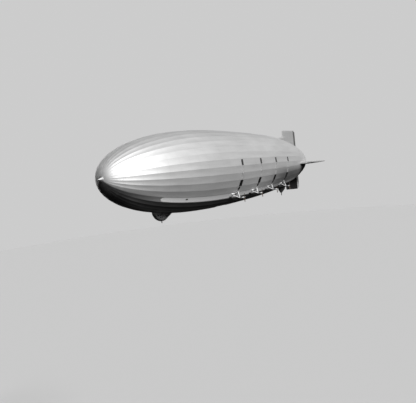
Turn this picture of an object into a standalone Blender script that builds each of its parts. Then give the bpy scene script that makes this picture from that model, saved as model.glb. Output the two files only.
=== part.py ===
"""Rigid airship, a scale model at one tenth.

The ship is drawn in its own metres and SCALE brings every length down to the model.
A station is a distance aft of the tip of the mooring cone, and a height is a distance
from the hull's axis. In the model's frame X points to the bow, Y to port and Z up, with
the origin on the hull's axis at ORIGIN_STATION, where the lift holds the ship.
"""

import math

import bmesh
import bpy
from mathutils import Matrix, Vector

NAME = "rigid_airship"
SCALE = 0.1

# Clearances, in metres of the model
SEAT_GAP = 0.0003
RUNNING_GAP = 0.006

# Hull, in metres of the ship
LENGTH = 239.3
HULL_RADIUS = 20.25
GORES = 36
HULL_WALL = 0.10
CONE_LENGTH = 1.7
FULLEST = 0.415
BOW_POWER = 2.85
BOW_ROUND = 0.465
TAIL_POWER = 2.65
TAIL_ROUND = 0.825
ORIGIN_STATION = 110.0
BOW_CAP_END = 6.0
TAIL_CONE_START = 231.0
HULL_BAYS = 24
CAP_BAYS = 5

# Hangar bay in the belly: two leaves slide sideways on curved rails inside the cover
HANGAR_START = 71.0
HANGAR_END = 83.0
HANGAR_HALF_ANGLE = 13.0
LEAF_OVERLAP = 1.2
LEAF_THICKNESS = 0.12
LEAF_STEPS = 4
RAIL_WIDTH = 0.3
RAIL_HALF_ANGLE = 31.0
RAIL_STEPS = 18
CENTRE_GAP = 0.16

# Engine stations, with a condenser column, an outrigger and a propeller on each side
ENGINE_STATIONS = (74.5, 97.0, 119.5, 142.0)
SIDES = (("port", 1.0), ("starboard", -1.0))

# Mooring cone, and how far pieces that stand on the hull reach into it before they are trimmed
MOORING_CONE = (
    # station, radius
    (0.0, 0.0),
    (0.0, 0.16),
    (0.5, 0.34),
    (1.1, 0.62),
    (1.75, 1.3),
    (2.6, 1.5),
    (2.6, 0.0),
)
MOORING_CONE_SIDES = 18
ROOT_DEPTH = 0.6
SMOOTH_ANGLE = math.radians(35.0)

# Condenser column: angle from the beam, and how far it stands off the cover
CONDENSER_WIDTH = 1.8
CONDENSER_STEPS = (
    # top angle, bottom angle, rise
    (9.0, 0.6, 0.14),
    (-0.6, -11.6, 0.10),
    (-12.4, -20.0, 0.08),
    (-20.8, -29.2, 0.16),
)
CONDENSER_WEB = 0.05
CONDENSER_BEVEL_ANGLE = 0.2

# Outrigger: a tripod of a shaft housing and two struts, with the gearbox at its end
HUB_OUT = 18.4
HUB_DOWN = 15.8
BOSS_OUT = 17.1
HOUSING_ROOT = 1.0
SHAFT_RADIUS_INNER = 0.55
SHAFT_RADIUS_OUTER = 0.45
SHAFT_SIDES = 12
STRUT_CHORD = 0.62
STRUT_THICKNESS = 0.34
STRUT_SIDES = 8
STRUT_HEAD_IN = 0.45
STRUTS = (
    # angle of the foot below the beam, distance of the foot ahead of the engine
    (40.5, -1.6),
    (44.0, 3.8),
)

# Gearbox and propeller
GEARBOX_RADIUS = 0.5
GEARBOX_NOSE = 1.0
GEARBOX_TAIL = 1.3
KNUCKLE_RADIUS = 0.42
KNUCKLE_END = 0.2
POD_SIDES = 14
PROPELLER_RADIUS = 2.5
PROPELLER_HUB_RADIUS = 0.34
PROPELLER_HUB_LENGTH = 0.5
BLADE_SECTIONS = (
    # share of the radius, chord, thickness, pitch angle in degrees
    (0.05, 0.30, 0.24, 62.0),
    (0.25, 0.40, 0.15, 48.0),
    (0.50, 0.46, 0.10, 33.0),
    (0.80, 0.36, 0.07, 22.0),
    (1.00, 0.16, 0.05, 18.0),
)

# Fins and the surfaces hinged to them
HINGE_STATION = 215.0
SURFACE_END = 219.8
FIN_ROOT_HEIGHT = 7.0
NOSE_RADIUS_ROOT = 0.50
NOSE_RADIUS_TIP = 0.34
TRAILING_EDGE = 0.06
SURFACE_ROOT_CLEARANCE = 0.45
FIN_SECTION = (
    # share of the chord, share of the thickness
    (0.000, 0.04),
    (0.015, 0.28),
    (0.070, 0.58),
    (0.200, 0.90),
    (0.400, 1.00),
    (0.700, 0.82),
)
FIN_SPANS = (
    # share of the span, share of the root's thickness, leading edge moved aft, reach of the root strake
    (0.00, 1.00, 0.0, 14.5),
    (0.58, 0.688, 0.0, 14.5),
    (0.66, 0.645, 0.0, 8.5),
    (0.71, 0.618, 0.0, 0.0),
    (0.93, 0.50, 0.0, 0.0),
    (0.985, 0.36, 0.25, 0.0),
    (1.00, 0.18, 0.9, 0.0),
)
FIN_THICKNESS = 2.6
FINS = (
    # fin, surface, turn about X from up, drop, front and rear tip heights, tip station, share of the strake
    ("fin_upper", "rudder_upper", 0.0, 0.0, 24.7, 25.8, 188.6, 1.0),
    ("fin_lower", "rudder_lower", 180.0, 0.0, 21.6, 23.2, 188.0, 0.0),
    ("fin_port", "elevator_port", -90.0, 2.2, 23.3, 24.4, 186.4, 1.0),
    ("fin_starboard", "elevator_starboard", 90.0, 2.2, 23.3, 24.4, 186.4, 1.0),
)
LEADING_EDGE_RAKE = 0.12
SURFACE_TIP_DROP = 1.2
SURFACE_SPANS = (
    # share of the span, share of the nose's radius
    (0.0, 1.0),
    (0.9, 1.0),
    (1.0, 0.55),
)
HINGE_SHARES = (0.20, 0.80)
HINGE_LUG_RADIUS = 0.16
HINGE_LUG_HEIGHT = 0.36
HINGE_LUG_SIDES = 12
HINGE_NOTCH_RADIUS = 0.64
HINGE_NOTCH_SIDES = 16
HINGE_TAB_SHARE = 0.8

# Control car under the bow
CAR_SECTIONS = (
    # station, half width, lowest height below the axis
    (26.6, 0.34, 15.9),
    (27.4, 0.92, 17.1),
    (28.7, 1.26, 18.7),
    (30.0, 1.37, 19.55),
    (31.4, 1.40, 20.02),
    (33.4, 1.30, 20.05),
    (36.4, 0.86, 18.95),
    (39.4, 0.28, 17.8),
)
CAR_TOP_HEIGHT = 14.8
CAR_WALL = 0.10
CAR_SHAPE = (
    # share of the half width, share of the depth below the hull
    (1.00, 0.00),
    (1.00, 0.40),
    (0.96, 0.78),
    (0.80, 0.94),
    (0.45, 1.00),
)
CAR_WINDOW_STATIONS = (28.33, 29.43, 30.53, 34.0, 35.05)
CAR_WINDOW_WIDTH = 0.88
CAR_WINDOW_ROWS = (
    # lowest and highest distance below the axis, first window, window after the last, reach of the front one
    (17.55, 16.95, 0, 3, 27.9),
    (18.56, 17.92, 1, 5, 28.9),
)
CAR_FRONT_WINDOW_HALF = 0.52
CAR_WIDEST = 1.40
TOOL_MARGIN = 0.5
DOOR_START = 32.35
DOOR_END = 33.35
DOOR_BOTTOM = 19.0
DOOR_TOP = 17.25
DOOR_HINGE_OUT = 0.09
DOOR_KNUCKLE_RADIUS = 0.08
DOOR_KNUCKLE_LENGTH = 0.30
DOOR_STRAP_LENGTH = 0.24
DOOR_STRAP_START = 0.03
DOOR_STRAP_DEPTH = 0.18
DOOR_STRAP_INSET = 0.01

# Wheels under the car and under the tail
CAR_WHEEL_STATION = 32.0
CAR_WHEEL_RADIUS = 0.32
CAR_WHEEL_HEIGHT = 20.62
TAIL_WHEEL_STATION = 176.3
TAIL_WHEEL_RADIUS = 0.62
TAIL_WHEEL_HEIGHT = 24.1
WHEEL_WIDTH_SHARE = 0.42
WHEEL_SIDES = 20
TREAD_SHARE = 0.55
RIM_SHARE = 0.80
PYLON_RINGS = (
    # distance below the axis, leading edge, trailing edge, thickness
    (15.0, 169.6, 186.2, 1.3),
    (20.2, 170.7, 185.0, 1.1),
    (22.7, 174.9, 177.7, 0.7),
)
PYLON_EDGE = 0.03
PYLON_SECTION = (
    # share of the chord, share of the thickness
    (0.12, 0.7),
    (0.35, 1.0),
    (0.75, 1.0),
)
FORK_THICKNESS = 0.12
FORK_WIDTH_SHARE = 0.34
BOSS_SHARE = 0.8
BOSS_SIDES = 10
FORK_OVERLAP = 0.02
FORK_ROOM = 0.12
LEG_CLEARANCE = 0.075
PYLON_OVERLAP = 0.4


def x_at(station):
    """Place along the model of a station of the ship."""
    return (ORIGIN_STATION - station) * SCALE


def hull_radius(station):
    """Radius of the ship at a station: two rounded powers that meet at the fullest place."""
    along = (station - CONE_LENGTH) / (LENGTH - CONE_LENGTH)
    along = min(max(along, 0.0), 1.0)
    if along < FULLEST:
        return HULL_RADIUS * (1.0 - (1.0 - along / FULLEST) ** BOW_POWER) ** BOW_ROUND
    aft = (along - FULLEST) / (1.0 - FULLEST)
    return HULL_RADIUS * (1.0 - aft ** TAIL_POWER) ** TAIL_ROUND


def eased_stations(start, end, bays):
    """Stations between two ends, closer together towards both."""
    return [start + (end - start) * (1.0 - math.cos(math.pi * i / bays)) / 2.0 for i in range(bays + 1)]


def hull_stations():
    """Every ring of the hull from bow to tail, with the rings at both joints."""
    nose = [CONE_LENGTH + (BOW_CAP_END - CONE_LENGTH) * (i / CAP_BAYS) ** 2 for i in range(CAP_BAYS)]
    middle = eased_stations(BOW_CAP_END, TAIL_CONE_START, HULL_BAYS)
    reach = LENGTH - TAIL_CONE_START
    tail = [LENGTH - reach * (1.0 - i / CAP_BAYS) ** 1.4 for i in range(1, CAP_BAYS + 1)]
    return nose + middle + tail


def cover_radius(station):
    """Radius of the modelled cover at a station: straight between two of its rings."""
    rings = hull_stations()
    for before, after in zip(rings, rings[1:]):
        if before <= station <= after:
            share = (station - before) / (after - before)
            return hull_radius(before) + (hull_radius(after) - hull_radius(before)) * share
    raise ValueError(f"no hull at station {station}")


def material(name, colour, roughness, metallic=0.0):
    """Principled finish of one sub-part."""
    made = bpy.data.materials.new(name)
    made.use_nodes = True
    shader = made.node_tree.nodes["Principled BSDF"]
    shader.inputs["Base Color"].default_value = (*colour, 1.0)
    shader.inputs["Roughness"].default_value = roughness
    shader.inputs["Metallic"].default_value = metallic
    return made


def collection(name):
    """Collection linked to the scene."""
    made = bpy.data.collections.new(name)
    bpy.context.scene.collection.children.link(made)
    return made


def add(group, name, mesh, finish=None):
    """Object of a mesh in a collection, with its finish."""
    made = bpy.data.objects.new(name, mesh)
    group.objects.link(made)
    if finish is not None:
        mesh.materials.clear()
        mesh.materials.append(finish)
    return made


def as_cutter(made):
    """Marks an object as a tool that only shapes others."""
    made.hide_render = True
    made.display_type = "WIRE"
    return made


def boolean(made, operation, tool):
    """Exact Boolean of a part with a tool."""
    step = made.modifiers.new(operation.title(), "BOOLEAN")
    step.operation = operation
    step.solver = "EXACT"
    step.object = tool


def mesh_of(name, points, faces):
    """Mesh of points in the ship's metres, brought down to the model."""
    mesh = bpy.data.meshes.new(name)
    mesh.from_pydata([Vector(p) * SCALE for p in points], [], faces)
    mesh.update()
    return mesh


def loft(name, rings):
    """Closed mesh through rings of equal count, capped at both ends, faces outward."""
    count = len(rings[0])
    points = [p for ring in rings for p in ring]
    faces = []
    for k in range(len(rings) - 1):
        for i in range(count):
            j = (i + 1) % count
            faces.append((k * count + i, k * count + j, (k + 1) * count + j, (k + 1) * count + i))
    faces.append(tuple(reversed(range(count))))
    faces.append(tuple((len(rings) - 1) * count + i for i in range(count)))
    mesh = mesh_of(name, points, faces)
    shape = bmesh.new()
    shape.from_mesh(mesh)
    bmesh.ops.recalc_face_normals(shape, faces=shape.faces)
    shape.to_mesh(mesh)
    shape.free()
    return mesh


def smooth(mesh):
    """Shades a round mesh smooth, with its edges left sharp."""
    mesh.shade_smooth()
    mesh.set_sharp_from_angle(angle=SMOOTH_ANGLE)
    return mesh


def rod(name, start, end, radius_start, radius_end, sides, flatten=1.0):
    """Straight round or streamlined bar between two points of the ship."""
    start, end = Vector(start) * SCALE, Vector(end) * SCALE
    along = end - start
    mesh = bpy.data.meshes.new(name)
    shape = bmesh.new()
    bmesh.ops.create_cone(
        shape,
        cap_ends=True,
        segments=sides,
        radius1=radius_start * SCALE,
        radius2=radius_end * SCALE,
        depth=along.length,
    )
    fore_and_aft = Vector((1.0, 0.0, 0.0)) if abs(along.normalized().x) < 0.99 else Vector((0.0, 0.0, 1.0))
    ahead = (fore_and_aft - fore_and_aft.project(along)).normalized()
    across = along.normalized().cross(ahead)
    turn = Matrix((ahead, across * flatten, along.normalized())).transposed().to_4x4()
    bmesh.ops.transform(shape, matrix=Matrix.Translation((start + end) / 2.0) @ turn, verts=shape.verts)
    shape.to_mesh(mesh)
    shape.free()
    return smooth(mesh)


def box(name, low, high):
    """Box between two corners of the ship."""
    low, high = Vector(low) * SCALE, Vector(high) * SCALE
    mesh = bpy.data.meshes.new(name)
    shape = bmesh.new()
    bmesh.ops.create_cube(shape, size=1.0)
    bmesh.ops.scale(shape, vec=high - low, verts=shape.verts)
    bmesh.ops.translate(shape, vec=(low + high) / 2.0, verts=shape.verts)
    shape.to_mesh(mesh)
    shape.free()
    return mesh


def turned(group, name, profile, steps, finish=None, closed=False, smooth_shade=False):
    """Screw of a profile of (station, radius) pairs about the hull's axis."""
    mesh = bpy.data.meshes.new(name)
    points = [(radius * SCALE, 0.0, x_at(station)) for station, radius in profile]
    edges = [(i, i + 1) for i in range(len(points) - 1)]
    if closed:
        edges.append((len(points) - 1, 0))
    mesh.from_pydata(points, edges, [])
    made = add(group, name, mesh, finish)
    made.rotation_euler = (0.0, math.radians(90.0), 0.0)
    screw = made.modifiers.new("Screw", "SCREW")
    screw.steps = steps
    screw.render_steps = steps
    screw.use_merge_vertices = True
    screw.merge_threshold = 0.00005
    screw.use_smooth_shade = smooth_shade
    return made


def from_operands(parts, cutters, name, finish, meshes):
    """Part joined from overlapping meshes by Boolean unions."""
    made = add(parts, name, meshes[0], finish)
    for number, mesh in enumerate(meshes[1:], 1):
        tool = as_cutter(add(cutters, f"{name}_piece_{number}", mesh))
        boolean(made, "UNION", tool)
    return made


def wall_point(station, rim):
    """Point of the inner wall behind a station: square to the cover, or straight in at a rim."""
    step = 0.01
    rise = (hull_radius(station + step) - hull_radius(station - step)) / (2.0 * step)
    length = math.hypot(1.0, rise)
    if rim:
        return (station, hull_radius(station) - HULL_WALL * length)
    return (station + HULL_WALL * rise / length, hull_radius(station) - HULL_WALL / length)


def shell_profile(stations):
    """Outline of a length of the cover: along its outer side to the tail, back along its wall."""
    outer = [(s, hull_radius(s)) for s in stations]
    inner = []
    for s in reversed(stations):
        if s == CONE_LENGTH:
            inner.append((s + HULL_WALL, 0.0))
        elif s == LENGTH:
            inner.append((s - HULL_WALL, 0.0))
        else:
            inner.append(wall_point(s, s in (stations[0], stations[-1])))
    return outer + inner


def polar(station, height, angle):
    """Point of the ship at a height from the axis and an angle up from the port beam."""
    turn = math.radians(angle)
    return (x_at(station) / SCALE, height * math.cos(turn), height * math.sin(turn))


def hull_tools(cutters):
    """Solid hull, a seat gap larger than the real one, that trims what stands on the cover."""
    profile = [(CONE_LENGTH, 0.0)]
    for station in hull_stations()[1:-1]:
        profile.append((station, hull_radius(station) + SEAT_GAP / SCALE))
    profile.append((LENGTH, 0.0))
    return as_cutter(turned(cutters, "hull_trim", profile, GORES))


def build_hull(parts, cutters):
    """Cover between the bow cap and the tail cone, open at both ends and over the hangar."""
    cover = material("cover", (0.62, 0.62, 0.60), 0.45, 0.35)
    gap = SEAT_GAP / SCALE
    stations = [s for s in hull_stations() if BOW_CAP_END < s < TAIL_CONE_START]
    stations = [BOW_CAP_END + gap, *stations, TAIL_CONE_START - gap]
    hull = turned(parts, "hull_cover", shell_profile(stations), GORES, cover, closed=True)
    half = hull_radius(HANGAR_START) * math.sin(math.radians(HANGAR_HALF_ANGLE))
    low = (x_at(HANGAR_END) / SCALE, -half, -hull_radius(HANGAR_END) - 1.0)
    high = (x_at(HANGAR_START) / SCALE, half, -hull_radius(HANGAR_START) * 0.8)
    opening = as_cutter(add(cutters, "hangar_opening", box("hangar_opening", low, high)))
    boolean(hull, "DIFFERENCE", opening)


def build_bow(parts, cutters, trim):
    """Metal cap over the bow and the mooring cone that stands on it."""
    cap_finish = material("bow_cap", (0.75, 0.75, 0.74), 0.35, 0.6)
    stations = [s for s in hull_stations() if s <= BOW_CAP_END]
    turned(parts, "bow_cap", shell_profile(stations), GORES, cap_finish)
    steel = material("mooring_cone", (0.35, 0.36, 0.37), 0.4, 0.8)
    made = turned(parts, "mooring_cone", MOORING_CONE, MOORING_CONE_SIDES, steel, smooth_shade=True)
    boolean(made, "DIFFERENCE", trim)


def build_tail_cone(parts):
    """Cone that closes the hull behind the fins."""
    finish = material("tail_cone", (0.60, 0.60, 0.58), 0.45, 0.35)
    stations = [s for s in hull_stations() if s >= TAIL_CONE_START]
    profile = shell_profile(stations)
    half = len(stations)
    turned(parts, "tail_cone", profile[half:] + profile[:half], GORES, finish)


def arc_plate(start, end, angle_from, angle_to, steps, inner, outer):
    """Rings of a plate bent about the axis; inner and outer give its heights at a station."""
    rings = []
    for k in range(steps + 1):
        angle = angle_from + (angle_to - angle_from) * k / steps
        rings.append(
            [
                polar(start, inner(start), angle),
                polar(start, outer(start), angle),
                polar(end, outer(end), angle),
                polar(end, inner(end), angle),
            ]
        )
    return rings


def inner_wall_height(station):
    """Nearest that the faceted inner wall comes to the axis at a station of the hangar."""
    return (cover_radius(station) - HULL_WALL) * math.cos(math.pi / GORES)


def build_hangar(parts):
    """Two curved leaves that close the hangar, and the rails they slide on."""
    leaf_finish = material("hangar_leaf", (0.50, 0.50, 0.48), 0.5, 0.3)
    rail_finish = material("hangar_rail", (0.40, 0.41, 0.42), 0.4, 0.8)
    gap = SEAT_GAP / SCALE
    lift = RUNNING_GAP / SCALE

    def rail_outer(station):
        return inner_wall_height(station) - gap

    def rail_inner(station):
        return inner_wall_height(station) - lift

    def leaf_outer(station):
        return rail_inner(station) * math.cos(math.radians(RAIL_HALF_ANGLE / RAIL_STEPS)) - gap

    def leaf_inner(station):
        return leaf_outer(station) - LEAF_THICKNESS

    rails = (
        ("hangar_rail_fore", HANGAR_START - 2.0 * RAIL_WIDTH, HANGAR_START - RAIL_WIDTH),
        ("hangar_rail_aft", HANGAR_END + RAIL_WIDTH, HANGAR_END + 2.0 * RAIL_WIDTH),
    )
    for name, start, end in rails:
        angles = (-90.0 - RAIL_HALF_ANGLE, -90.0 + RAIL_HALF_ANGLE)
        rings = arc_plate(start, end, *angles, RAIL_STEPS, rail_inner, rail_outer)
        add(parts, name, loft(name, rings), rail_finish)
    fore, aft = HANGAR_START - 2.0 * RAIL_WIDTH, HANGAR_END + 2.0 * RAIL_WIDTH
    centre = math.degrees(CENTRE_GAP / 2.0 / hull_radius(HANGAR_START))
    for side, sign in SIDES:
        name = f"hangar_door_{side}"
        angles = (-90.0 + sign * centre, -90.0 + sign * (HANGAR_HALF_ANGLE + LEAF_OVERLAP))
        rings = arc_plate(fore, aft, *angles, LEAF_STEPS, leaf_inner, leaf_outer)
        add(parts, name, loft(name, rings), leaf_finish)


def mirrored_angle(sign, angle):
    """Angle on the port side, or its mirror on the starboard side."""
    return angle if sign > 0.0 else 180.0 - angle


def build_condensers(parts, trim):
    """Column of condenser panels above each engine, joined by a low web."""
    finish = material("condenser", (0.16, 0.16, 0.15), 0.6, 0.3)
    for number, station in enumerate(ENGINE_STATIONS, 1):
        start, end = station - CONDENSER_WIDTH / 2.0, station + CONDENSER_WIDTH / 2.0
        for side, sign in SIDES:
            rings = []
            for top, bottom, rise in CONDENSER_STEPS:
                outline = (
                    (top, CONDENSER_WEB),
                    (top - CONDENSER_BEVEL_ANGLE, rise),
                    (bottom + CONDENSER_BEVEL_ANGLE, rise),
                    (bottom, CONDENSER_WEB),
                )
                for angle, height in outline:
                    turn = mirrored_angle(sign, angle)
                    rings.append(
                        [
                            polar(start, cover_radius(start) - ROOT_DEPTH, turn),
                            polar(start, cover_radius(start) + height, turn),
                            polar(end, cover_radius(end) + height, turn),
                            polar(end, cover_radius(end) - ROOT_DEPTH, turn),
                        ]
                    )
            name = f"condenser_{side}_{number}"
            made = add(parts, name, loft(name, rings), finish)
            boolean(made, "DIFFERENCE", trim)


def build_outriggers(parts, cutters, trim):
    """Tripod at each engine: the shaft housing and two streamlined struts."""
    finish = material("outrigger", (0.66, 0.66, 0.64), 0.4, 0.3)
    for number, station in enumerate(ENGINE_STATIONS, 1):
        x = x_at(station) / SCALE
        for side, sign in SIDES:
            name = f"outrigger_{side}_{number}"
            foot_out = math.sqrt(hull_radius(station) ** 2 - HUB_DOWN ** 2) - HOUSING_ROOT
            housing = rod(
                name,
                (x, sign * foot_out, -HUB_DOWN),
                (x, sign * BOSS_OUT, -HUB_DOWN),
                SHAFT_RADIUS_INNER,
                SHAFT_RADIUS_OUTER,
                SHAFT_SIDES,
            )
            pieces = [housing]
            head = (x, sign * (BOSS_OUT - STRUT_HEAD_IN), -HUB_DOWN)
            half = STRUT_CHORD / 2.0
            for angle, ahead in STRUTS:
                foot_station = station - ahead
                foot_height = hull_radius(foot_station) - ROOT_DEPTH
                foot = polar(foot_station, foot_height, mirrored_angle(sign, -angle))
                pieces.append(rod(name, foot, head, half, half, STRUT_SIDES, STRUT_THICKNESS / STRUT_CHORD))
            made = from_operands(parts, cutters, name, finish, pieces)
            boolean(made, "DIFFERENCE", trim)


def evaluated_mesh(made, name):
    """Mesh of an object with its modifiers applied, in its own frame."""
    graph = bpy.context.evaluated_depsgraph_get()
    mesh = bpy.data.meshes.new_from_object(made.evaluated_get(graph))
    mesh.name = name
    return mesh


def gearbox_mesh(cutters):
    """Pod along X with a knuckle towards the hull, about the swivel's centre."""
    outline = [
        # distance ahead of the swivel, radius
        (GEARBOX_NOSE, 0.0),
        (GEARBOX_NOSE * 0.92, GEARBOX_RADIUS * 0.55),
        (GEARBOX_NOSE * 0.45, GEARBOX_RADIUS),
        (-GEARBOX_TAIL * 0.35, GEARBOX_RADIUS),
        (-GEARBOX_TAIL, PROPELLER_HUB_RADIUS),
        (-GEARBOX_TAIL, 0.0),
    ]
    profile = [(ORIGIN_STATION - ahead, radius) for ahead, radius in outline]
    pod = as_cutter(turned(cutters, "gearbox_pod", profile, POD_SIDES))
    inner = (0.0, BOSS_OUT - HUB_OUT + SEAT_GAP / SCALE, 0.0)
    outer = (0.0, KNUCKLE_END, 0.0)
    knuckle = rod("gearbox_knuckle", inner, outer, KNUCKLE_RADIUS, KNUCKLE_RADIUS, POD_SIDES)
    boolean(pod, "UNION", as_cutter(add(cutters, "gearbox_knuckle", knuckle)))
    mesh = evaluated_mesh(pod, "gearbox")
    mesh.transform(Matrix.Rotation(math.radians(90.0), 4, "Y"))
    return smooth(mesh)


def blade_rings():
    """Sections of a blade that stands up the Z axis, each eight points round."""
    rings = []
    for share, chord, thickness, pitch in BLADE_SECTIONS:
        turn = math.radians(pitch)
        ring = []
        for k in range(8):
            round_angle = 2.0 * math.pi * k / 8
            along = chord / 2.0 * math.cos(round_angle)
            off = thickness / 2.0 * math.sin(round_angle)
            x = along * math.sin(turn) + off * math.cos(turn)
            y = along * math.cos(turn) - off * math.sin(turn)
            ring.append((x, y, share * PROPELLER_RADIUS))
        rings.append(ring)
    return rings


def propeller_mesh(cutters):
    """Two blades and a hub about the shaft, with the shaft along X."""
    half = PROPELLER_HUB_LENGTH / 2.0
    radius = PROPELLER_HUB_RADIUS
    barrel = rod("propeller_hub", (half, 0, 0), (-half, 0, 0), radius, radius, POD_SIDES)
    hub = as_cutter(add(cutters, "propeller_hub", barrel))
    for number in range(2):
        blade = loft("propeller_blade", blade_rings())
        blade.transform(Matrix.Rotation(math.pi * number, 4, "X"))
        boolean(hub, "UNION", as_cutter(add(cutters, f"propeller_blade_{number + 1}", blade)))
    return smooth(evaluated_mesh(hub, "propeller"))


def build_drives(parts, cutters):
    """Swivelling gearbox and propeller at the end of each outrigger."""
    metal = material("gearbox", (0.45, 0.46, 0.46), 0.4, 0.7)
    wood = material("propeller", (0.20, 0.12, 0.07), 0.35)
    pod = gearbox_mesh(cutters)
    propeller = propeller_mesh(cutters)
    pod.materials.clear()
    pod.materials.append(metal)
    propeller.materials.clear()
    propeller.materials.append(wood)
    behind = GEARBOX_TAIL + PROPELLER_HUB_LENGTH / 2.0 + SEAT_GAP / SCALE
    for number, station in enumerate(ENGINE_STATIONS, 1):
        for side, sign in SIDES:
            hub = Vector((x_at(station), sign * HUB_OUT * SCALE, -HUB_DOWN * SCALE))
            gearbox = add(parts, f"gearbox_{side}_{number}", pod)
            gearbox.location = hub
            gearbox.rotation_euler = (0.0 if sign > 0.0 else math.pi, 0.0, 0.0)
            spinner = add(parts, f"propeller_{side}_{number}", propeller)
            spinner.location = hub - Vector((behind * SCALE, 0.0, 0.0))


def fin_ring(height_front, height_rear, lead, trail, thickness, trail_thickness):
    """Section of an upright fin: its port flank from nose to tail, then back along the other."""
    port = []
    for share, fullness in FIN_SECTION:
        station = lead + (trail - lead) * share
        height = height_front + (height_rear - height_front) * share
        port.append((x_at(station) / SCALE, fullness * thickness / 2.0, height))
    port.append((x_at(trail) / SCALE, trail_thickness / 2.0, height_rear))
    return port + [(x, -y, z) for x, y, z in reversed(port)]


def nose_radius(height, tip):
    """Radius of a surface's round nose at a height along its hinge."""
    share = (height - FIN_ROOT_HEIGHT) / (tip - FIN_ROOT_HEIGHT)
    return NOSE_RADIUS_ROOT + (NOSE_RADIUS_TIP - NOSE_RADIUS_ROOT) * min(max(share, 0.0), 1.0)


def hinge_heights(tip):
    """Middle of each hinge along the post."""
    root = hull_radius(HINGE_STATION)
    return [root + (tip - root) * share for share in HINGE_SHARES]


def triangulated(mesh):
    """The mesh, its faces cut into triangles."""
    shape = bmesh.new()
    shape.from_mesh(mesh)
    bmesh.ops.triangulate(shape, faces=shape.faces)
    shape.to_mesh(mesh)
    shape.free()
    return mesh


def fin_mesh(name, front, rear, tip_station, strake):
    """Upright fin from inside the hull to its tip, with a blunt back at the post and a low strake ahead."""
    post = HINGE_STATION - NOSE_RADIUS_ROOT - RUNNING_GAP / SCALE
    rings = []
    for share, fullness, aft, ahead in FIN_SPANS:
        top_front = FIN_ROOT_HEIGHT + (front - FIN_ROOT_HEIGHT) * share
        top_rear = FIN_ROOT_HEIGHT + (rear - FIN_ROOT_HEIGHT) * share
        lead = tip_station - (front - top_front) * LEADING_EDGE_RAKE + aft - ahead * strake
        back = min(2.0 * nose_radius(top_rear, rear), 0.9 * fullness * FIN_THICKNESS)
        rings.append(fin_ring(top_front, top_rear, lead, post, fullness * FIN_THICKNESS, back))
    return triangulated(loft(name, rings))


def surface_mesh(name, rear):
    """Upright rudder or elevator with a round nose about its hinge."""
    rings = []
    for share, fullness in SURFACE_SPANS:
        root_front = hull_radius(HINGE_STATION) + SURFACE_ROOT_CLEARANCE
        root_rear = hull_radius(SURFACE_END) + SURFACE_ROOT_CLEARANCE
        front = root_front + (rear - root_front) * share
        back = root_rear + (rear - SURFACE_TIP_DROP - root_rear) * share
        radius = nose_radius(front, rear) * fullness
        ring = []
        for angle in (90.0, 45.0, 0.0, -45.0, -90.0):
            turn = math.radians(angle)
            station = HINGE_STATION - radius * math.cos(turn)
            ring.append((x_at(station) / SCALE, radius * math.sin(turn), front))
        edge = TRAILING_EDGE / 2.0
        ring.append((x_at(SURFACE_END) / SCALE, -edge, back))
        ring.append((x_at(SURFACE_END) / SCALE, edge, back))
        rings.append(ring)
    return loft(name, rings)


def build_fins(parts, cutters, trim):
    """Four fins with their rudders and elevators, hinged on lugs that stand out of the post."""
    fin_finish = material("fin", (0.60, 0.60, 0.58), 0.45, 0.3)
    surface_finish = material("control_surface", (0.42, 0.42, 0.41), 0.5, 0.3)
    gap = SEAT_GAP / SCALE
    hinge_x = x_at(HINGE_STATION) / SCALE
    post_x = x_at(HINGE_STATION - NOSE_RADIUS_ROOT - ROOT_DEPTH) / SCALE
    for fin_name, surface_name, turn, drop, front, rear, tip_station, strake in FINS:
        about = Matrix.Translation((0.0, 0.0, -drop * SCALE)) @ Matrix.Rotation(math.radians(turn), 4, "X")
        half = HINGE_LUG_HEIGHT / 2.0
        thick = HINGE_LUG_RADIUS * HINGE_TAB_SHARE
        fin_pieces = [fin_mesh(fin_name, front, rear, tip_station, strake)]
        notches = []
        for height in hinge_heights(rear):
            low, high = height - half, height + half
            fin_pieces.append(box("hinge_tab", (hinge_x, -thick, low), (post_x, thick, high)))
            for pieces, name, radius, reach, sides in (
                (fin_pieces, "hinge_lug", HINGE_LUG_RADIUS, 0.0, HINGE_LUG_SIDES),
                (notches, "hinge_notch", HINGE_NOTCH_RADIUS, gap, HINGE_NOTCH_SIDES),
            ):
                start, end = (hinge_x, 0, low - reach), (hinge_x, 0, high + reach)
                pieces.append(rod(name, start, end, radius, radius, sides))
        surface = surface_mesh(surface_name, rear)
        for mesh in (*fin_pieces, *notches, surface):
            mesh.transform(about)
        fin = from_operands(parts, cutters, fin_name, fin_finish, fin_pieces)
        boolean(fin, "DIFFERENCE", trim)
        made = add(parts, surface_name, surface, surface_finish)
        for number, notch in enumerate(notches, 1):
            boolean(made, "DIFFERENCE", as_cutter(add(cutters, f"{surface_name}_notch_{number}", notch)))


def car_ring(station, half_width, depth, inset):
    """Section of the car from its port top round the keel to its starboard top."""
    top = CAR_TOP_HEIGHT - inset * 3.0
    reach = depth - inset - CAR_TOP_HEIGHT
    port = []
    for width_share, depth_share in CAR_SHAPE:
        z = -top if depth_share == 0.0 else -(CAR_TOP_HEIGHT + reach * depth_share)
        port.append((x_at(station) / SCALE, max(half_width - inset, 0.05) * width_share, z))
    return port + [(x, -y, z) for x, y, z in reversed(port)]


def car_solid(name, inset):
    """Outer form of the car, or the room inside it when inset by the wall."""
    first, last = CAR_SECTIONS[0], CAR_SECTIONS[-1]
    rings = []
    for row in CAR_SECTIONS:
        station, half_width, depth = row
        if row is first:
            station += inset
        if row is last:
            station -= inset * 4.0
        rings.append(car_ring(station, half_width, depth, inset))
    return triangulated(loft(name, rings))


def car_size(station):
    """Half width and depth of the car at a station, between two of its sections."""
    for before, after in zip(CAR_SECTIONS, CAR_SECTIONS[1:]):
        if before[0] <= station <= after[0]:
            share = (station - before[0]) / (after[0] - before[0])
            return tuple(b + (a - b) * share for b, a in zip(before[1:], after[1:]))
    raise ValueError(f"no car at station {station}")


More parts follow.
